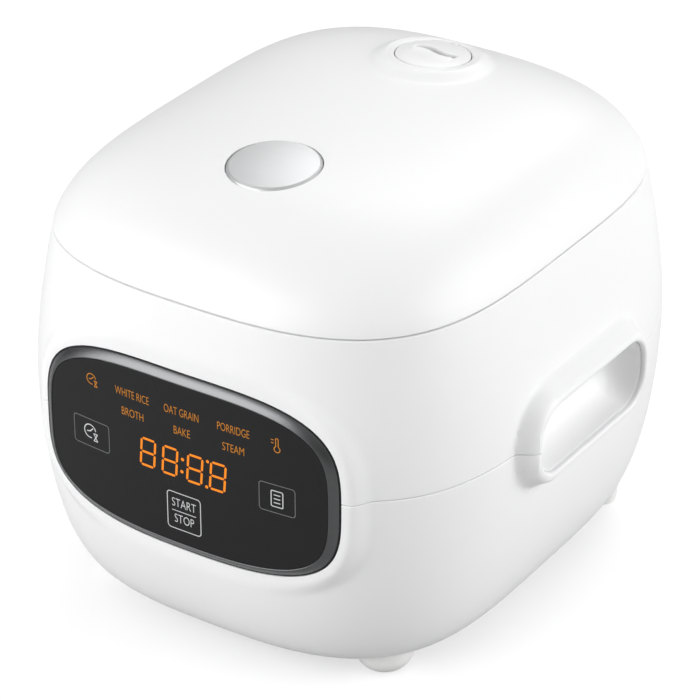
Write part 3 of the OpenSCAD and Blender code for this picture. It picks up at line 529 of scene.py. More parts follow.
def cap_height(x, y):
    """Height of the cap's top: a low dome with a waved finger groove, steep in front and soft behind."""
    wave = -0.085 * CAP_R * np.sin(np.pi * x / (GROOVE_END * CAP_R))
    d = y - wave
    across = np.where(d < 0, 1 - ease(-d / 0.6), 1 - ease(d / (0.32 * CAP_R)))
    along = ease((GROOVE_END * CAP_R - np.abs(x)) / 2.2)
    ridge = 0.45 * np.exp(-(np.minimum(d, 0) / 3.2) ** 2) * (d < 0.3) * along
    return CAP_TOP - (np.hypot(x, y) / CAP_R) ** 4 + ridge - GROOVE_D * across * along


radii = np.linspace(0.2, CAP_R - CAP_EDGE, 84)
turn = np.linspace(0, 2 * np.pi, 260, endpoint=False)
c, s = np.cos(vent_tilt), np.sin(vent_tilt)
rings = []
for q in radii:
    x, y = q * np.cos(turn), q * np.sin(turn)
    h = cap_height(x, y)
    rings.append(np.column_stack([x, y * c - h * s, y * s + h * c]) + np.array(vent_at))
edge_h = CAP_TOP - (1 - CAP_EDGE / CAP_R) ** 4
skirt = [(CAP_R - CAP_EDGE * (1 - np.sin(a)), edge_h - CAP_EDGE * (1 - np.cos(a)))
         for a in np.linspace(0.3, np.pi / 2, 5)]
skirt += [(CAP_R, -1.0), (CAP_R - 1.6, -1.0), (CAP_R - 1.6, -0.8), (11.0, -0.8), (11.0, -3.0), (0.3, -3.0)]
rings += lathe(skirt, 260, vent_at, vent_tilt)
points, faces = stack(rings)

# The cap's plastic is painted with shade that deepens with the groove's depth, which its UV map holds across.
GROOVE_REACH = 14
groove_shaded_plastic = surface("vent_cap_painted_groove_shade", (0.86, 0.86, 0.865), 0.40, spread=0.01, relief=0.03)
tree = groove_shaded_plastic.node_tree
shade_amount_map, split = tree.nodes.new("ShaderNodeUVMap"), tree.nodes.new("ShaderNodeSeparateXYZ")
shade_amount_map.uv_map = "hollow"
shade = tree.nodes.new("ShaderNodeMix")
shade.data_type, shade.blend_type = "RGBA", "MULTIPLY"
# Colour of the painted shade at the bottom of the groove.
shade.inputs[7].default_value = (0.36, 0.36, 0.37, 1)
tree.links.new(shade_amount_map.outputs["UV"], split.inputs["Vector"])
tree.links.new(split.outputs["X"], shade.inputs[0])
tree.links.new(tree.nodes["Group"].outputs["Colour"], shade.inputs[6])
tree.links.new(shade.outputs[2], tree.nodes["Principled BSDF"].inputs["Base Color"])
cap = make("vent_cap_top", points, faces, groove_shaded_plastic, "vent", ["vent_cap"], recalc=True)
# The UV map holds the strength of the painted shade, taken from the groove's depth.
hollow = cap.data.uv_layers.new(name="hollow")
for loop in cap.data.loops:
    x, y, z = np.array(cap.data.vertices[loop.vertex_index].co) / MM - np.array(vent_at)
    y, h = y * c + z * s, z * c - y * s
    q = np.hypot(x, y)
    sunk = (CAP_TOP - (q / CAP_R) ** 4 - h) / GROOVE_D if q < GROOVE_REACH else 0.0
    hollow.data[loop.index].uv = (float(np.clip(sunk * 1.6, 0, 1)), 0.5)

# ---- Lid button ----
# A satin silver disc, flush with the crown, with a bevelled rim and a thin open line round it.
button_r = BUTTON_R - 0.35
profile = [(0.01, 0.85)] + [(q, 0.85 - 0.8 * (q / button_r) ** 2) for q in np.linspace(2, button_r - 1.3, 14)]
profile += [(button_r - 0.9, -0.12), (button_r - 0.3, -0.55), (button_r, -1.0), (button_r, -3.0)]
profile += [(4.0, -3.0), (4.0, -14.0), (3.5, -14.5), (0.01, -14.5)]
silver = surface("satin_silver", (0.63, 0.635, 0.64), 0.4, metal=0.6, stretch=(1, 14, 1), relief=0.03)
turned("button_disc", profile, silver, "button", ["button_cap"], centre=button_at,
       tilt=button_tilt,
       count=160, sharp=24)


# ---- Control panel ----
# A bevelled metal frame round a smoked, slightly bowed window. Lit orange digits and legends shine
# through it, with white outlined touch keys below and at the sides.


def panel_point(u, v, out=0.0):
    """Point on the window's bow at u across and v up from its middle, out mm in front of it."""
    return np.array([u, panel_y - out + u * u / (2 * PANEL_BOW), panel_z + v])


def panel_rings(profile, count=240):
    """Rings that follow the panel's outline, each (inset, depth)."""
    flat = outline(panel_half, PANEL_N, count, PANEL_N)
    normal = np.sign(flat) * (np.abs(flat) / panel_half) ** (PANEL_N - 1) / panel_half
    normal /= np.hypot(normal[:, 0], normal[:, 1])[:, None]
    return [np.array([panel_point(u, v, -deep) for u, v in flat - normal * inset]) for inset, deep in profile]


FRAME_W = 3.9
# The frame's outer wall and outermost strip are near-black; on the strip's face this is painted shade of the
# fine gap round the frame.
frame_profile = [(0.0, 6.0), (0.0, 0.6), (0.15, 0.42), (0.55, 0.3)]
points, faces = stack(panel_rings(frame_profile), cap_start=False, cap_end=False)
frame_rim_gap_shade = surface("frame_rim_painted_gap_shade", (0.02, 0.02, 0.021), 0.45, metal=0.6, relief=0.01)
make("panel_frame_painted_shade_rim", points, faces, frame_rim_gap_shade, "base", recalc=True)
frame_profile = [(0.55, 0.3), (0.62, 0.16), (FRAME_W - 0.25, -WINDOW_PROUD + 0.06),
                 (FRAME_W, -WINDOW_PROUD), (FRAME_W + 0.15, -WINDOW_PROUD + 0.08),
                 (FRAME_W + 0.2, -WINDOW_PROUD + 0.6), (FRAME_W + 0.2, 3.5)]
points, faces = stack(panel_rings(frame_profile), cap_start=False, cap_end=False)
bezel_metal = surface("bezel_metal", (0.145, 0.147, 0.15), 0.32, metal=1.0, stretch=(4, 4, 40), relief=0.05)
make("panel_frame_bevel", points, faces, bezel_metal, "base", ["panel_bezel"], recalc=True)
WINDOW_DEEP = -WINDOW_PROUD + 0.14
window_profile = [(FRAME_W + 0.22, 4.0), (FRAME_W + 0.22, WINDOW_DEEP + 0.2), (FRAME_W + 0.45, WINDOW_DEEP)]
rings = panel_rings(window_profile)
for k in np.linspace(0.93, 0.05, 14):
    ring = rings[2].copy()
    ring[:, 0] *= k
    ring[:, 2] = panel_z + (ring[:, 2] - panel_z) * k
    ring[:, 1] = panel_y + WINDOW_DEEP + ring[:, 0] ** 2 / (2 * PANEL_BOW)
    rings.append(ring)
points, faces = stack(rings, cap_start=False)
window = surface("smoked_window", (0.011, 0.011, 0.012), 0.12, spread=0.1, rough_spread=0.02, relief=0.004,
                 specular=0.28)
make("panel_window", points, faces, window, "base", ["panel_glass"], recalc=True)
GLASS_OUT = -WINDOW_DEEP + 0.05
LAYOUT_U, LAYOUT_V = 1.0, 0.85

# Digits: four seven-segment figures, all lit, with a colon, a decimal point and a seconds mark.
DIGIT_W, DIGIT_H, STROKE = 8.0, 13.7, 1.05
LEAN_SLOPE = 0.08


def flat_piece(name, shapes, material):
    """Thin lit shapes, each a list of (across, up) points, laid on the window."""
    points, faces = [], []
    for shape in shapes:
        start = len(points)
        points += [panel_point(u + LAYOUT_U, v + LAYOUT_V, GLASS_OUT) for u, v in shape]
        faces.append(tuple(range(start, start + len(shape))))
    obj = make(name, points, faces, material, "base")
    return obj


def bar(x0, y0, x1, y1, w):
    """Pointed bar of a figure between two ends."""
    d = np.array([x1 - x0, y1 - y0], float)
    d /= np.hypot(*d)
    n = np.array([-d[1], d[0]]) * w / 2
    a, b = np.array([x0, y0]) + d * w * 0.8, np.array([x1, y1]) - d * w * 0.8
    tip_a, tip_b = a - d * w / 2, b + d * w / 2
    shape = [tip_a, a - n, b - n, tip_b, b + n, a + n]
    return [(p[0] + LEAN_SLOPE * p[1], p[1]) for p in shape]


def figure(cx, cy):
    w, h = DIGIT_W / 2 - STROKE / 2, DIGIT_H / 2 - STROKE / 2
    ends = [(-w, h, w, h), (-w, 0, w, 0), (-w, -h, w, -h)]
    ends += [(x, y, x, y + h) for x in (-w, w) for y in (-h, 0)]
    return [[(u + cx, v + cy) for u, v in bar(*e, STROKE)] for e in ends]


def dot(cx, cy, r, count=14):
    return [(cx + r * np.cos(a), cy + r * np.sin(a))
            for a in np.linspace(0, 2 * np.pi, count, endpoint=False)]


digit_v = -0.4
shapes = [s for cx in (-17.6, -6.4, 6.0, 17.2) for s in figure(cx, digit_v)]
shapes += [dot(-0.2 + LEAN_SLOPE * v, digit_v + v, 0.8) for v in (-3.1, 2.8)]
shapes += [dot(11.7, digit_v - 6.3, 0.75), dot(12.4, digit_v + 5.9, 0.75)]
amber = surface("display_amber", (0.10, 0.03, 0.01), 0.4, glow=1.0, lit=(1.0, 0.27, 0.012), specular=0.1)
flat_piece("display_figures", shapes, amber)


def frame_shape(cx, cy, w, h, r, line):
    """Outline of a key as four-sided strips between two rounded rectangles."""
    a, b = rounded_rect(w / 2, h / 2, r, 8), rounded_rect(w / 2 - line, h / 2 - line, max(r - line, 0.1), 8)
    shapes = []
    for i in range(len(a)):
        a0, a1, b0, b1 = (np.array(q) for q in (a[i], a[(i + 1) % len(a)], b[i], b[(i + 1) % len(a)]))
        steps = 1 + int(np.hypot(*(a1 - a0)) / 2)
        for k in range(steps):
            t0, t1 = k / steps, (k + 1) / steps
            corners = (a0 + (a1 - a0) * t0, a0 + (a1 - a0) * t1, b0 + (b1 - b0) * t1, b0 + (b1 - b0) * t0)
            shapes.append([(cx + q[0], cy + q[1]) for q in corners])
    return shapes


def line_shape(x0, y0, x1, y1, w):
    d = np.array([x1 - x0, y1 - y0], float)
    d /= np.hypot(*d)
    n = np.array([-d[1], d[0]]) * w / 2
    a, b = np.array([x0, y0]), np.array([x1, y1])
    return [tuple(a - n), tuple(b - n), tuple(b + n), tuple(a + n)]


def ring_shape(cx, cy, r, w, a0=0, a1=360, count=24):
    a = np.radians(np.linspace(a0, a1, count))
    o = [(cx + (r + w / 2) * np.cos(t), cy + (r + w / 2) * np.sin(t)) for t in a]
    i = [(cx + (r - w / 2) * np.cos(t), cy + (r - w / 2) * np.sin(t)) for t in a]
    return [[o[k], o[k + 1], i[k + 1], i[k]] for k in range(count - 1)]


def legend(name, words, material, narrow=0.9):
    """Words of the window, each (text, across, up, height), as one flat piece on its bow."""
    points, faces = [], []
    for text, u, v, size in words:
        curve = bpy.data.curves.new("words", "FONT")
        curve.body, curve.size, curve.align_x, curve.align_y = text, size, "CENTER", "CENTER"
        curve.offset = -0.008 * size
        holder = bpy.data.objects.new("words", curve)
        bpy.context.scene.collection.objects.link(holder)
        bpy.context.view_layer.update()
        flat = bpy.data.meshes.new_from_object(holder.evaluated_get(bpy.context.evaluated_depsgraph_get()))
        start = len(points)
        points += [panel_point(u + p.co.x * narrow + LAYOUT_U, v + p.co.y + LAYOUT_V, GLASS_OUT)
                   for p in flat.vertices]
        faces += [tuple(start + i for i in f.vertices) for f in flat.polygons]
        bpy.data.objects.remove(holder)
        bpy.data.curves.remove(curve)
    return make(name, points, faces, material, "base")


MODE_WORDS = [("WHITE RICE", -25, 24, 5.4), ("OAT GRAIN", 0, 24, 5.4), ("PORRIDGE", 25, 24, 5.4)]
amber_dim = surface("legend_amber", (0.06, 0.02, 0.01), 0.5, glow=0.62, lit=(0.86, 0.33, 0.03), specular=0.1)
legend("mode_legends", MODE_WORDS, amber_dim, 0.6)
DISH_WORDS = [("BROTH", -25, 15.2, 5.4), ("BAKE", 0, 15.2, 5.4), ("STEAM", 25, 15.2, 5.4)]
legend("dish_legends", DISH_WORDS, amber_dim, 0.66)
KEYS = [(-47.7, -1.9, 19.4), (45.0, -2.1, 16.8)]
KEY_H = 13.4
START_V = -23.3
legend_white = surface("legend_white", (0.2, 0.2, 0.2), 0.5, glow=0.5, lit=(0.85, 0.86, 0.88), specular=0.1)
legend("start_legends", [("START", 0, START_V + 3.7, 5.8), ("STOP", 0, START_V - 3.8, 5.8)], legend_white,
       0.72)
shapes = frame_shape(0, START_V, 17.0, 17.8, 1.8, 0.4) + [line_shape(-6.0, START_V, 6.0, START_V, 0.35)]
flat_piece("start_key", shapes, legend_white)
shapes = [s for u, v, w in KEYS for s in frame_shape(u, v, w, KEY_H, 1.6, 0.32)]
legend_grey = surface("legend_grey", (0.08, 0.08, 0.08), 0.5, glow=0.14, lit=(0.75, 0.77, 0.8), specular=0.1)
flat_piece("side_keys", shapes, legend_grey)


def timer_sign(cx, cy, r, line):
    """Dial with two hands and a small sand glass at its lower right."""
    shapes = ring_shape(cx, cy, r, line, 10, 285)
    shapes += [line_shape(cx - 0.55 * r, cy - 0.1 * r, cx, cy, line),
               line_shape(cx, cy, cx + 0.5 * r, cy + 0.5 * r, line)]
    gx, gy, gw, gh = cx + 0.95 * r, cy - 0.75 * r, 0.34 * r, 0.55 * r
    corners = [(gx - gw, gy + gh), (gx + gw, gy + gh), (gx - gw, gy - gh), (gx + gw, gy - gh),
               (gx - gw, gy + gh)]
    return shapes + [line_shape(*corners[k], *corners[k + 1], line * 0.9) for k in range(4)]


left_u, left_v = KEYS[0][:2]
list_u, list_v = KEYS[1][:2]
shapes = timer_sign(left_u - 0.8, left_v + 0.8, 3.1, 0.5) + frame_shape(list_u, list_v, 5.8, 7.8, 0.8, 0.45)
shapes += [line_shape(list_u - 1.5, list_v + v, list_u + 1.5, list_v + v, 0.45) for v in (1.8, 0.0, -1.8)]
flat_piece("key_signs", shapes, legend_white)
BULB_U, BULB_V = 45.3, 21.2
shapes = timer_sign(-46.6, 24.4, 2.4, 0.42) + ring_shape(BULB_U, BULB_V, 1.35, 0.42, 115, 425)
shapes += [line_shape(BULB_U + du, BULB_V + 1.2, BULB_U + du, BULB_V + 4.5, 0.4) for du in (-0.58, 0.58)]
shapes += ring_shape(BULB_U, BULB_V + 4.5, 0.58, 0.4, 0, 180, 9)
shapes += [line_shape(BULB_U - 2.7, BULB_V + v, BULB_U - 1.5, BULB_V + v, 0.38) for v in (2.7, 4.1)]
flat_piece("mode_signs", shapes, amber_dim)

# ---- Feet ----
# Soft white feet: low domes in front and flared posts with a flat sole behind.
FRONT_SOLE, FRONT_ROUND, FRONT_TOP = 5.0, 8.4, 14.0
foot_rubber = surface("foot_rubber", (0.86, 0.86, 0.85), 0.5, relief=0.08)
for name in ("foot_front_left", "foot_front_right"):
    low, high = box_mm(name)
    centre = ((low[0] + high[0]) / 2, (low[1] + high[1]) / 2, 0)
    profile = [(0.01, 0.0)] + [(FRONT_SOLE + (high[0] - low[0]) / 2 * 0.6 * np.sin(a),
                                FRONT_ROUND * (1 - np.cos(a)))
                               for a in np.linspace(0, np.pi / 2, 14)]
    profile += [(FRONT_SOLE + (high[0] - low[0]) / 2 * 0.61, FRONT_TOP), (0.01, FRONT_TOP)]
    turned(name + "_skin", profile, foot_rubber, "base", [name], centre=centre)
for name in ("foot_rear_left", "foot_rear_right"):
    low, high = box_mm(name)
    centre = ((low[0] + high[0]) / 2, (low[1] + high[1]) / 2, 0)
    top_r = (high[0] - low[0]) / 2
    profile = [(0.01, 0.0), (top_r - 1.5, 0.0), (top_r - 1.1, 0.3), (top_r - 1.0, 1.4), (top_r - 1.1, 1.6),
               (top_r - 0.8, 1.9),
               (top_r - 0.5, 5), (top_r, 9), (top_r + 0.7, 14), (top_r + 1.5, 21), (0.01, 21)]
    turned(name + "_skin", profile, foot_rubber, "base", [name], centre=centre)

# ---- Deck and pot ----
# A matt white deck closes the body round the pot, with a drip channel, a slot for the latch hook and
# a soft rise to the wall. The pot is a spun alloy bowl with a rolled rim and a dark non-stick coat.
pot_box, deck_box = box_mm("inner_pot"), box_mm("rim_deck")
deck_top = deck_box[1][2]
well_r = (box_mm("steel_liner")[1][0]) + 0.25
wall_half, wall_n = section_at(deck_top)
wall_flat = outline(wall_half - WALL - 0.4, wall_n)
wall_reach = np.hypot(wall_flat[:, 0], wall_flat[:, 1])
spin = np.arctan2(wall_flat[:, 1], wall_flat[:, 0])


def deck_ring(r, z, to_wall=0.0, inset=0.0):
    """Ring at a radius, or on the body's inner wall drawn in by inset, never past that wall."""
    reach = np.minimum(r, wall_reach - 2.2) if to_wall == 0 else wall_reach - inset
    return np.column_stack([reach * np.cos(spin), reach * np.sin(spin), np.full(len(spin), z)])


rings = [deck_ring(r, deck_top + z) for r, z in
         [(well_r, -4.0), (well_r, -0.4), (well_r + 0.4, 0), (94.4, 0), (95.2, -0.3), (95.9, -1.2),
          (97.2, -1.9),
          (98.8, -1.9), (99.8, -1.4), (100.6, -1.0)]]
rings += [deck_ring(0, deck_top + z, 1, i) for i,
          z in [(2.1, -1.0), (1.0, -0.7), (0.35, 0.1), (0.0, 1.4), (0.0, -4.0)]]
points, faces = stack(rings, closed=True)
deck = make("deck_skin", points, faces, white_matt, None, recalc=True)
catch_box = box_mm("latch_catch")
cut(deck, block_cutter(catch_box[0] - 0.15, catch_box[1] + (0.15, 0.15, 5)),
    block_cutter((bracket_box[0][0] - 0.4, bracket_box[0][1] - 0.4, 100),
                 (bracket_box[1][0] + 0.4, 150, 200)))
finish_piece(deck, white_matt, "base", ["rim_deck"])

POT_WALL, POT_ROUND, FLANGE_T = 2.0, 20.0, 2.2
pot_low, pot_top, flange_r = pot_box[0][2], pot_box[1][2], pot_box[1][0]
pot_r = flange_r - 7.0
profile = [(0.05, pot_low)] + [(r, pot_low) for r in (20, 40, 60)]
profile += [(pot_r - POT_ROUND + POT_ROUND * np.sin(a), pot_low + POT_ROUND - POT_ROUND * np.cos(a))
            for a in np.linspace(0, np.pi / 2, 14)]
profile += [(pot_r, pot_top - FLANGE_T - 1.2), (pot_r + 0.4, pot_top - FLANGE_T - 0.2),
            (pot_r + 1.2, pot_top - FLANGE_T)]


def arc(cx, cy, r, a0, a1, steps=6):
    """Points of an arc in a profile, angles in degrees."""
    return [(cx + r * np.cos(a), cy + r * np.sin(a)) for a in np.radians(np.linspace(a0, a1, steps))]


profile += [(flange_r - 1.1, pot_top - FLANGE_T)] + arc(flange_r - 1.1, pot_top - 1.1, 1.1, -90, 90, 8)
profile += [(pot_r + 1.0, pot_top)]
points, faces = stack(lathe(profile, 160), cap_end=False)
pot_metal = surface("pot_metal", (0.55, 0.55, 0.56), 0.3, metal=1.0, stretch=(1, 1, 60), relief=0.08)
make("pot_outside", points, faces, pot_metal, "base", ["inner_pot"])
inner_r, inner_round = pot_r - POT_WALL, POT_ROUND - POT_WALL
profile = [(pot_r + 1.0, pot_top)] + [(inner_r + 1.6 - 1.6 * np.sin(a), pot_top - 1.6 + 1.6 * np.cos(a))
                                     for a in np.linspace(0, np.pi / 2, 6)]
profile += [(inner_r, z) for z in np.linspace(pot_top - 4, pot_low + POT_ROUND + 2, 8)]
profile += [(inner_r - inner_round + inner_round * np.cos(a), pot_low + POT_ROUND - inner_round * np.sin(a))
            for a in np.linspace(0, np.pi / 2, 14)]
profile += [(r, pot_low + POT_WALL + 0.4 * np.cos(r / 20)) for r in (60, 50, 40, 30, 20, 10, 0.05)]
points, faces = stack(lathe(profile, 160), cap_start=False)
pot_coat = surface("pot_coating", (0.045, 0.045, 0.05), 0.42, spread=0.2, grain=1600, relief=0.12,
                   specular=0.4)
make("pot_inside_coat", points, faces, pot_coat, "base")


def repeat_along(name, unit, count, step, material):
    """Copies of a piece set out in a row by a node tree, made into one plain mesh."""
    tree = bpy.data.node_groups.new(name + "_rows", "GeometryNodeTree")
    tree.interface.new_socket("Geometry", in_out="INPUT", socket_type="NodeSocketGeometry")
    tree.interface.new_socket("Count", in_out="INPUT", socket_type="NodeSocketInt")
    tree.interface.new_socket("Step", in_out="INPUT", socket_type="NodeSocketVector")
    tree.interface.new_socket("Geometry", in_out="OUTPUT", socket_type="NodeSocketGeometry")
    nodes, links = tree.nodes, tree.links
    entry, exit_node = nodes.new("NodeGroupInput"), nodes.new("NodeGroupOutput")
    row, place = nodes.new("GeometryNodeMeshLine"), nodes.new("GeometryNodeInstanceOnPoints")
    real, paint = nodes.new("GeometryNodeRealizeInstances"), nodes.new("GeometryNodeSetMaterial")
    links.new(entry.outputs["Count"], row.inputs["Count"])
    links.new(entry.outputs["Step"], row.inputs["Offset"])
    links.new(row.outputs["Mesh"], place.inputs["Points"])
    links.new(entry.outputs["Geometry"], place.inputs["Instance"])
    links.new(place.outputs["Instances"], real.inputs["Geometry"])
    links.new(real.outputs["Geometry"], paint.inputs["Geometry"])
    paint.inputs["Material"].default_value = material
    links.new(paint.outputs["Geometry"], exit_node.inputs["Geometry"])
    mod = unit.modifiers.new("rows", "NODES")
    mod.node_group = tree
    ids = {item.name: item.identifier for item in tree.interface.items_tree if item.in_out == "INPUT"}
    mod[ids["Count"]], mod[ids["Step"]] = count, step
    unit.update_tag()
    bpy.context.view_layer.update()
    mesh = bpy.data.meshes.new_from_object(unit.evaluated_get(bpy.context.evaluated_depsgraph_get()))
    unit.modifiers.clear()
    unit.data, unit.name = mesh, name


MARK_STEP, MARK_COUNT = 12.0, 6
pot_marks = surface("pot_marks", (0.5, 0.5, 0.5), 0.5)
for side, name in ((1, "right"), (-1, "left")):
    half_turn = np.array([-0.075, 0.075])
    a0 = np.pi / 2 + side * 0.9
    strip = []
    for a in a0 + half_turn:
        for dr in (-0.18, 0.05):
            for z in (0.0, 0.9):
                strip.append(((inner_r + dr) * np.cos(a), (inner_r + dr) * np.sin(a), pot_low + 30 + z))
    order = [(0, 1, 3, 2), (4, 6, 7, 5), (0, 4, 5, 1), (2, 3, 7, 6), (0, 2, 6, 4), (1, 5, 7, 3)]
    mark = make("pot_marks_" + name, strip, order, pot_marks, None, recalc=True)
    repeat_along("pot_marks_" + name, mark, MARK_COUNT, (0, 0, MARK_STEP * MM), pot_marks)
    finish_piece(mark, pot_marks, "base")

# ---- Underside of the lid ----
# A matt white liner screwed into the lid, a spun alloy plate with steam holes, and a pale silicone
# seal with a soft lip that presses on the pot's rim.
plate_box, seal_box = box_mm("inner_lid"), box_mm("lid_gasket")
plate_low = rim_z + 1.0
seal_r, plate_r = seal_box[1][0], plate_box[1][0]
liner_flat = outline(lid_half - WALL - 2.6, 2.874)
liner_reach, spin = np.hypot(*liner_flat.T), np.arctan2(liner_flat[:, 1], liner_flat[:, 0])


def liner_ring(r, z, inset=None):
    reach = np.minimum(r, liner_reach - 1.5) if inset is None else liner_reach - inset
    return np.column_stack([reach * np.cos(spin), reach * np.sin(spin), np.full(len(spin), z)])


skirt_low = seal_box[1][2] + 0.05
rings = [liner_ring(0, plate_low + 2, 0.0), liner_ring(0, plate_low + 0.5, 0.0),
         liner_ring(0, plate_low, 0.5)]
rings += [liner_ring(r, z) for r, z in
          [(seal_r + 4.5, plate_low), (seal_r + 1.6, plate_low - 0.4), (seal_r + 0.4, plate_low - 1.4),
           (seal_r, skirt_low + 0.6), (seal_r - 0.6, skirt_low), (seal_r - 3.4, skirt_low),
           (seal_r - 4, skirt_low + 0.6),
           (seal_r - 4.4, plate_low - 0.8), (seal_r - 5.4, plate_low - 0.2), (40, plate_low), (12, plate_low),
           (9, plate_low - 0.6), (8.8, plate_box[1][2] + 0.1), (0.3, plate_box[1][2] + 0.1)]]
rings += [liner_ring(0.3, plate_low + 2), liner_ring(60, plate_low + 2)]
points, faces = stack(rings, closed=True)
liner = make("lid_liner_skin", points, faces, white_matt, None, recalc=True)
lever_box = box_mm("latch_lever")
latch_at = np.array(joints["latch_turn"]["pos_m"]) / MM
cut(liner, block_cutter((lever_box[0][0] - 1, latch_at[1] - 8, 150),
                        (lever_box[1][0] + 1, latch_at[1] + 8, 200)),
    cutter_from(*stack(lathe([(6.9, -60), (6.9, -10)], 60, vent_at, vent_tilt))))
finish_piece(liner, white_matt, "lid", ["lid_liner"])
low, high = plate_box[0][2], plate_box[1][2]
profile = [(0.05, high), (plate_r - 0.4, high), (plate_r, high - 0.3), (plate_r, low + 0.4),
           (plate_r - 0.5, low)]
profile += [(78, low), (76.8, low + 0.5), (75, low + 0.5), (73.8, low), (58, low), (57, low + 0.35),
            (24, low + 0.35),
            (23, low), (14, low), (13, low - 0.5), (6, low - 0.5), (5, low), (0.05, low)]
cast_metal = surface("cast_metal", (0.58, 0.58, 0.57), 0.42, metal=0.9, grain=300, relief=0.15)
plate = turned("inner_lid_skin", profile, cast_metal, None, count=160)
holes = [(44 * np.cos(a), 44 * np.sin(a), 2.0)
         for a in np.radians(np.arange(30, 331, 60))] + [(0, VENT_Y, 5.0)]
holes += [(66 * np.cos(a), 66 * np.sin(a), 1.2) for a in np.radians(np.arange(10, 370, 20))
          if abs(np.degrees(a) - 90) > 15]
cut(plate, *[cutter_from(*stack(lathe([(r, low - 3), (r, high + 3)], 28, (x, y, 0)))) for x, y, r in holes])
finish_piece(plate, cast_metal, "lid", ["inner_lid"])
low, high = seal_box[0][2], seal_box[1][2]
profile = [(85.3, high), (seal_r - 0.3, high), (seal_r, high - 0.3), (seal_r, low + 1.4),
           (seal_r - 0.5, low + 1.0),
           (seal_r - 1.6, low + 0.9), (seal_r - 2.4, low + 0.2), (seal_r - 3.0, low),
           (seal_r - 3.6, low + 0.15),
           (seal_r - 4.2, low + 0.8), (86.9, low + 0.8), (85.9, low + 0.2), (85.3, low + 0.35),
           (85.0, low + 0.9),
           (86.2, low + 1.0), (86.55, low + 1.2), (86.55, high - 0.2), (85.3, high - 0.15)]
silicone = surface("silicone", (0.72, 0.73, 0.72), 0.5, relief=0.05)
turned("lid_seal", profile, silicone, "lid", ["lid_gasket"], count=160, closed=True)

# ---- Plain CAD nodes ----
# Small and hidden pieces keep their CAD shape. They get the looks of their slot, and six of them a fine
# bevel.
shown_bevel = ["hinge_bracket", "hinge_arms", "mains_inlet", "latch_lever", "latch_catch", "vent_cap_base"]
sleeve = surface("glazed_sleeve", (0.80, 0.79, 0.75), 0.3, relief=0.1)
wire_skin = surface("wire_skin", (0.30, 0.05, 0.03), 0.45)
brass = surface("contact_brass", (0.75, 0.58, 0.28), 0.25, metal=1.0)
board_green = surface("board_green", (0.03, 0.16, 0.07), 0.4, spread=0.2, relief=0.1)
dark_plastic = surface("dark_plastic", (0.03, 0.03, 0.032), 0.45, relief=0.1)
steel = surface("steel", (0.62, 0.62, 0.63), 0.26, metal=1.0, stretch=(1, 1, 30), relief=0.06)
SLOT_LOOKS = {"white_shell": white, "white_inner": white_matt, "grip_plastic": white,
              "foot_rubber": foot_rubber,
              "steel": steel, "cast_alloy": cast_metal, "pot_coating": pot_metal, "panel_metal": bezel_metal,
              "panel_glass": window, "board": board_green, "display": dark_plastic,
              "black_plastic": dark_plastic,
              "brass": brass, "wire": wire_skin, "ceramic": sleeve, "silicone": silicone,
              "button_silver": silver}
for part in frame["record"]["subparts"]:
    node = frame["nodes"][part["node"]]
    node.data.materials.clear()
    node.data.materials.append(SLOT_LOOKS[part["material_slot"]])
    if part["node"] in shown_bevel:
        bevel_mod = node.modifiers.new("soft edges", "BEVEL")
        bevel_mod.width, bevel_mod.segments, bevel_mod.limit_method = 0.0004, 2, "ANGLE"
        bevel_mod.angle_limit = np.radians(40)

# ---- Stage, light and camera ----
# A pale floor under three softboxes, to the left, the right and behind, and a sky that brightens
# upwards. The camera looks down on the front right corner through a long lens.
floor_mat = surface("floor_white", (0.50, 0.50, 0.50), 0.7, spread=0.01, relief=0.01, specular=0.1)
floor_nodes = floor_mat.node_tree
eye = floor_nodes.nodes.new("ShaderNodeLightPath")
lift = floor_nodes.nodes.new("ShaderNodeMath")
lift.operation, lift.inputs[1].default_value = "MULTIPLY", 0.56
floor_nodes.links.new(eye.outputs["Is Camera Ray"], lift.inputs[0])
floor_nodes.links.new(lift.outputs[0], floor_nodes.nodes["Principled BSDF"].inputs["Emission Strength"])
floor_nodes.nodes["Principled BSDF"].inputs["Emission Color"].default_value = (1, 1, 1, 1)
floor_mesh = bpy.data.meshes.new("floor")
FLOOR = 6.0
floor_mesh.from_pydata([(-FLOOR, -FLOOR, 0), (FLOOR, -FLOOR, 0), (FLOOR, FLOOR, 0), (-FLOOR, FLOOR, 0)], [],
                       [(0, 1, 2, 3)])
floor = bpy.data.objects.new("floor", floor_mesh)
bpy.context.scene.collection.objects.link(floor)
floor.data.materials.append(floor_mat)


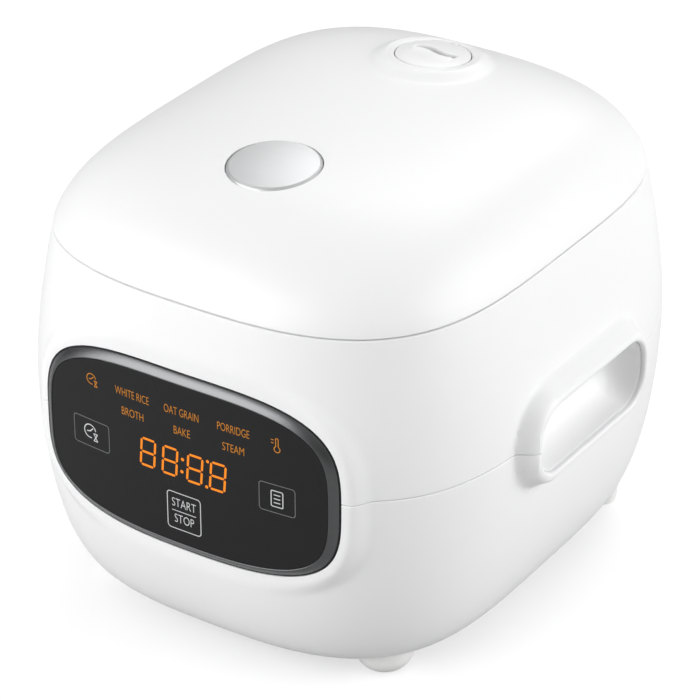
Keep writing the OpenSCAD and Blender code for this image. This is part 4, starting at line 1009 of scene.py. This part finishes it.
def area_light(name, place, target, size, power, colour=(1, 1, 1)):
    data = bpy.data.lights.new(name, "AREA")
    data.energy, data.shape, data.size, data.size_y, data.color = power, "RECTANGLE", size[0], size[1], colour
    lamp = bpy.data.objects.new(name, data)
    lamp.location = place
    lamp.rotation_euler = (Vector(target) - Vector(place)).to_track_quat("-Z", "Y").to_euler()
    bpy.context.scene.collection.objects.link(lamp)


SKY_LOW, SKY_HIGH = 0.12, 0.48
area_light("left_softbox", (-0.72, -1.33, 0.72), (0, 0, 0.1), (1.5, 1.3), 24)
area_light("right_softbox", (1.42, 0.55, 0.6), (0, 0, 0.1), (1.4, 1.3), 21)
area_light("back_softbox", (-0.3, 1.2, 1.3), (0, 0, 0.1), (1.2, 0.8), 9)
world = bpy.data.worlds.new("studio")
bpy.context.scene.world = world
world.use_nodes = True
sky = world.node_tree
sky_place, sky_split = sky.nodes.new("ShaderNodeTexCoord"), sky.nodes.new("ShaderNodeSeparateXYZ")
sky_span = sky.nodes.new("ShaderNodeMapRange")
sky_span.inputs["From Min"].default_value, sky_span.inputs["From Max"].default_value = -0.1, 0.9
sky_span.inputs["To Min"].default_value, sky_span.inputs["To Max"].default_value = SKY_LOW, SKY_HIGH
sky.links.new(sky_place.outputs["Generated"], sky_split.inputs[0])
sky.links.new(sky_split.outputs["Z"], sky_span.inputs["Value"])
sky.links.new(sky_span.outputs["Result"], sky.nodes["Background"].inputs["Strength"])
sky.nodes["Background"].inputs["Color"].default_value = (1, 1, 1, 1)
bpy.context.scene.view_settings.view_transform = "Standard"

AZIMUTH, ELEVATION, DISTANCE = np.radians(33.33), np.radians(29.45), 1.4473
target = Vector((0, 0, 0.09684))
back = Vector((np.sin(AZIMUTH) * np.cos(ELEVATION), -np.cos(AZIMUTH) * np.cos(ELEVATION), np.sin(ELEVATION)))
lens = bpy.data.cameras.new("camera")
lens.lens, lens.sensor_width = 171.7, 36.0
lens.shift_x, lens.shift_y = -0.0075, -0.0124
camera = bpy.data.objects.new("camera", lens)
camera.location = target + back * DISTANCE
camera.rotation_euler = back.to_track_quat("Z", "Y").to_euler()
bpy.context.scene.collection.objects.link(camera)
bpy.context.scene.camera = camera
